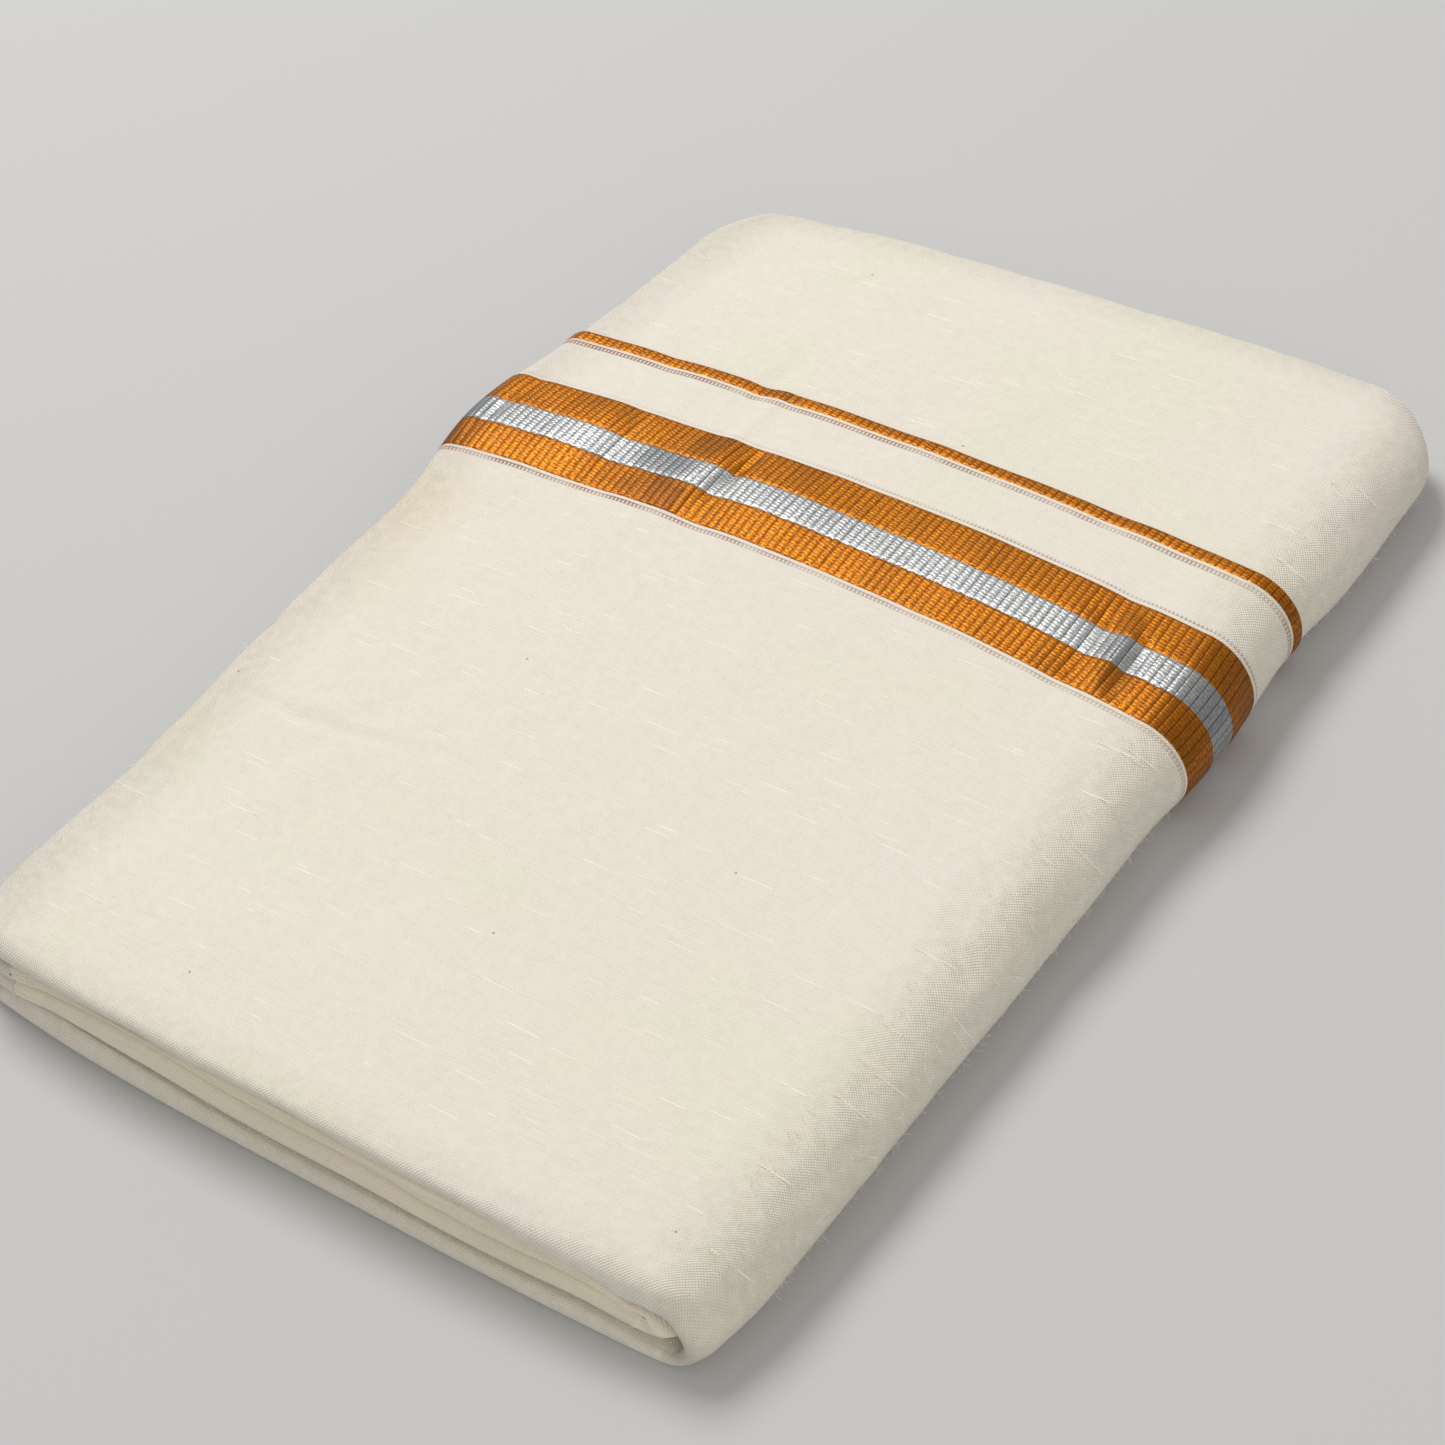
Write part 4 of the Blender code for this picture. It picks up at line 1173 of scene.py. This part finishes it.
# Patches of painted shade and dark reflection on the gold and silver bands, at their kinks and over the
# folds; a negative strength is a painted highlight
GOLD_SHADE_SPOTS = (
    (-49.5, 39.5, 14.0, 10.0, 0.75), (-46.5, 64.0, 7.5, 9.0, 0.35), (-121.0, 42.0, 14.0, 26.0, 0.5),
    (95.0, 41.0, 8.0, 10.0, 0.35), (124.0, 52.0, 22.0, 60.0, 0.42), (-44.0, 90.0, 7.0, 6.0, 0.4),
)
SILVER_SHADE_SPOTS = (
    (-53.0, 51.0, 13.0, 10.0, 0.65), (-42.0, 51.0, 3.0, 8.0, -0.2), (-119.0, 51.0, 9.0, 10.0, 0.7),
    (91.0, 50.0, 7.0, 9.0, 0.4), (122.0, 50.0, 16.0, 30.0, 0.7),
)
gold_zari = zari("orange_gold_zari_thread", "#d68a12", "#8c4206", "#74420f", "#3a1a02", 0.6, 0.42, GOLD_SHADE_SPOTS)
silver_zari = zari("silver_zari_thread", "#e4e6e6", "#7b7f82", "#74797c", "#2f3338", 0.5, 0.36, SILVER_SHADE_SPOTS)
ribbed = Places(RIBBED_ZONES)
RIB_END = 0.92
RIB_EASE = 0.45


def rib_marks(start, stop):
    """Attributes that the rib tree reads: where a point is across the cloth, how much of a
    rib's height it gets, and which way is out."""
    def marks(places, rows):
        along = np.array([row[0] for row in rows])
        edge = np.minimum(along - start, stop - along)
        inside_band = 0.15 + 0.85 * smooth(edge / RIB_EASE)
        on_top = np.isin(places.zone, ("top", "right", "left_top")).astype(float)
        on_top = np.where(places.zone == "right", 1 - smooth((places.u - RIB_END + 0.1) / 0.1), on_top)
        on_top = np.where(places.zone == "left_top", smooth((places.u - 0.1) / 0.3), on_top)
        outward = np.array([points(-1.0) - points(0.0) for along, points in rows])
        return {
            "across": np.broadcast_to(places.across, along.shape),
            "proud": inside_band * on_top,
            "outward": outward / np.linalg.norm(outward, axis=-1, keepdims=True),
        }
    return marks


ribs = rib_tree()
# A band's rows: close together at its edges, then one every BAND_ROW_STEP
BAND_EDGE = np.array((0.0, 0.25, 0.6, 1.1))
BAND_INSET, BAND_ROW_STEP, NARROW_BAND = 1.8, 0.8, 5.0


def band(name, start, stop, material, col_step=8):
    """One band of the border, as a shell, with its ribs raised."""
    width = stop - start
    inside_rows = np.array((width / 2,))
    if width > NARROW_BAND:
        count = max(int((width - 2 * BAND_INSET) / BAND_ROW_STEP) + 1, 2)
        inside_rows = np.linspace(BAND_INSET, width - BAND_INSET, count)
    lines = np.concatenate((start + BAND_EDGE, start + inside_rows, stop - BAND_EDGE[::-1]))
    rows = [plain_row(ribbed, along) for along in lines]
    piece = cloth_piece(name, ribbed, rows, material, None, col_step, rib_marks(start, stop))
    return through_nodes(piece, ribs, Material=material)


border = (
    ("near_gold_band", "kara_gold_near", "gold_zari", KARA_START, KARA_SILVER, gold_zari),
    ("silver_band", "kara_silver", "silver_zari", KARA_SILVER, KARA_FAR_GOLD, silver_zari),
    ("far_gold_band", "kara_gold_far", "gold_zari", KARA_FAR_GOLD, KARA_STOP, gold_zari),
)
for name, node, finish, start, stop, material in border:
    piece = band(name, start, stop, material)
    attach(piece, "root")
    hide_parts(node)

# The cloth between the border and the edge stripe
#
# More plain cotton, 21 mm wide. It has a white cord and brown threads on both sides,
# and the flap ends at the narrow ribbed stripe of orange gold woven along its edge.

SELVEDGE = 88.9
between_cotton = cotton("cotton_beside_both_stripes", (
    (KARA_STOP + 1.25, 0.26, 0.6, 0.25, 0.8),
    (KARA_STOP + 1.75, 0.4, 0.95, 0.1, 0.4),
    (SELVEDGE - 1.15, 0.24, 0.25, 0.85, 0.7),
    (SELVEDGE - 1.75, 0.55, 0.95, 0.85, 0.7),
    (SELVEDGE - 2.35, 0.26, 0.4, 0.8, 0.6),
))
near_half = np.array((0.0, 0.3, 0.6, 0.9, 1.2, 1.6, 2.2))
middle_lines = np.linspace(KARA_STOP + 3.4, SELVEDGE - 3.4, 11)
between_lines = np.concatenate((KARA_STOP + near_half, middle_lines, SELVEDGE - near_half[::-1]))
between_rows = [plain_row(places, along) for along in between_lines]
cords = cord_at(KARA_STOP + CORD_PLACE, SELVEDGE - CORD_PLACE)
between_cloth = cloth_piece("cloth_between_stripes", places, between_rows, between_cotton, cords)
edge_stripe = band("edge_stripe", SELVEDGE, FLAP_STOP, gold_zari)

for piece, node, finish in (
    (between_cloth, "ground_between_stripes", "cream_cotton"),
    (edge_stripe, "selvedge_gold", "gold_zari"),
):
    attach(piece, "root")
    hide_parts(node)

# Floor, light and camera
#
# A plain pale floor that runs past the view, a large soft lamp high behind the packet's
# left side with a weak one in front, and the camera at the photograph's angle.

FLOOR_HALF = 10.0
floor_mesh = bpy.data.meshes.new("studio_floor")
floor_corners = [(x * FLOOR_HALF, y * FLOOR_HALF, 0.0) for x, y in ((-1, -1), (1, -1), (1, 1), (-1, 1))]
floor_mesh.from_pydata(floor_corners, [], [(0, 1, 2, 3)])
floor = bpy.data.objects.new("studio_floor", floor_mesh)
bpy.context.scene.collection.objects.link(floor)
floor_paint, _, floor_shader, _ = new_material("matt_pale_floor")
floor_shader.inputs["Base Color"].default_value = linear("#c9cacc")
floor_shader.inputs["Roughness"].default_value = 0.9
floor_mesh.materials.append(floor_paint)
floor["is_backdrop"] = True


def soft_lamp(name, place, aim, size, watts, colour):
    lamp = bpy.data.lights.new(name, "AREA")
    lamp.shape = "DISK"
    lamp.size = size
    lamp.energy = watts
    lamp.color = linear(colour)[:3]
    holder = bpy.data.objects.new(name, lamp)
    bpy.context.scene.collection.objects.link(holder)
    towards = Vector(aim) - Vector(place)
    holder.matrix_world = Matrix.Translation(place) @ towards.to_track_quat("-Z", "Y").to_matrix().to_4x4()


soft_lamp("key_lamp", (-1.1, 0.62, 1.95), (0, 0, 0), 1.04, 33.0, "#fffdfa")
soft_lamp("fill_lamp", (1.3, -0.8, 0.9), (0, 0, 0), 1.2, 6.0, "#fffaf3")
world = bpy.data.worlds.new("studio_air")
bpy.context.scene.world = world
world.use_nodes = True
world.node_tree.nodes["Background"].inputs["Color"].default_value = linear("#f3f0ea")
world.node_tree.nodes["Background"].inputs["Strength"].default_value = 0.47
bpy.context.scene.view_settings.view_transform = "Standard"

AZIMUTH, ELEVATION, ROLL = radians(44.57), radians(42.85), radians(-12.10)
CAMERA_PLACE = (0.4472, -0.4584, 0.5957)
FOCAL_PIXELS, IMAGE_PIXELS = 3276.0, 1445.0
back = Vector((sin(AZIMUTH) * cos(ELEVATION), -cos(AZIMUTH) * cos(ELEVATION), sin(ELEVATION)))
level = Vector((0, 0, 1)).cross(back).normalized()
upward = back.cross(level)
right = level * cos(ROLL) + upward * sin(ROLL)
above = upward * cos(ROLL) - level * sin(ROLL)
lens = bpy.data.cameras.new("camera")
lens.sensor_width = 36.0
lens.lens = lens.sensor_width * FOCAL_PIXELS / IMAGE_PIXELS
camera = bpy.data.objects.new("camera", lens)
bpy.context.scene.collection.objects.link(camera)
camera.matrix_world = Matrix.Translation(CAMERA_PLACE) @ Matrix((right, above, back)).transposed().to_4x4()
bpy.context.scene.camera = camera

{name: [list(corner) for corner in box] for name, box in (("cad", cad_box), ("visual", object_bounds()))}
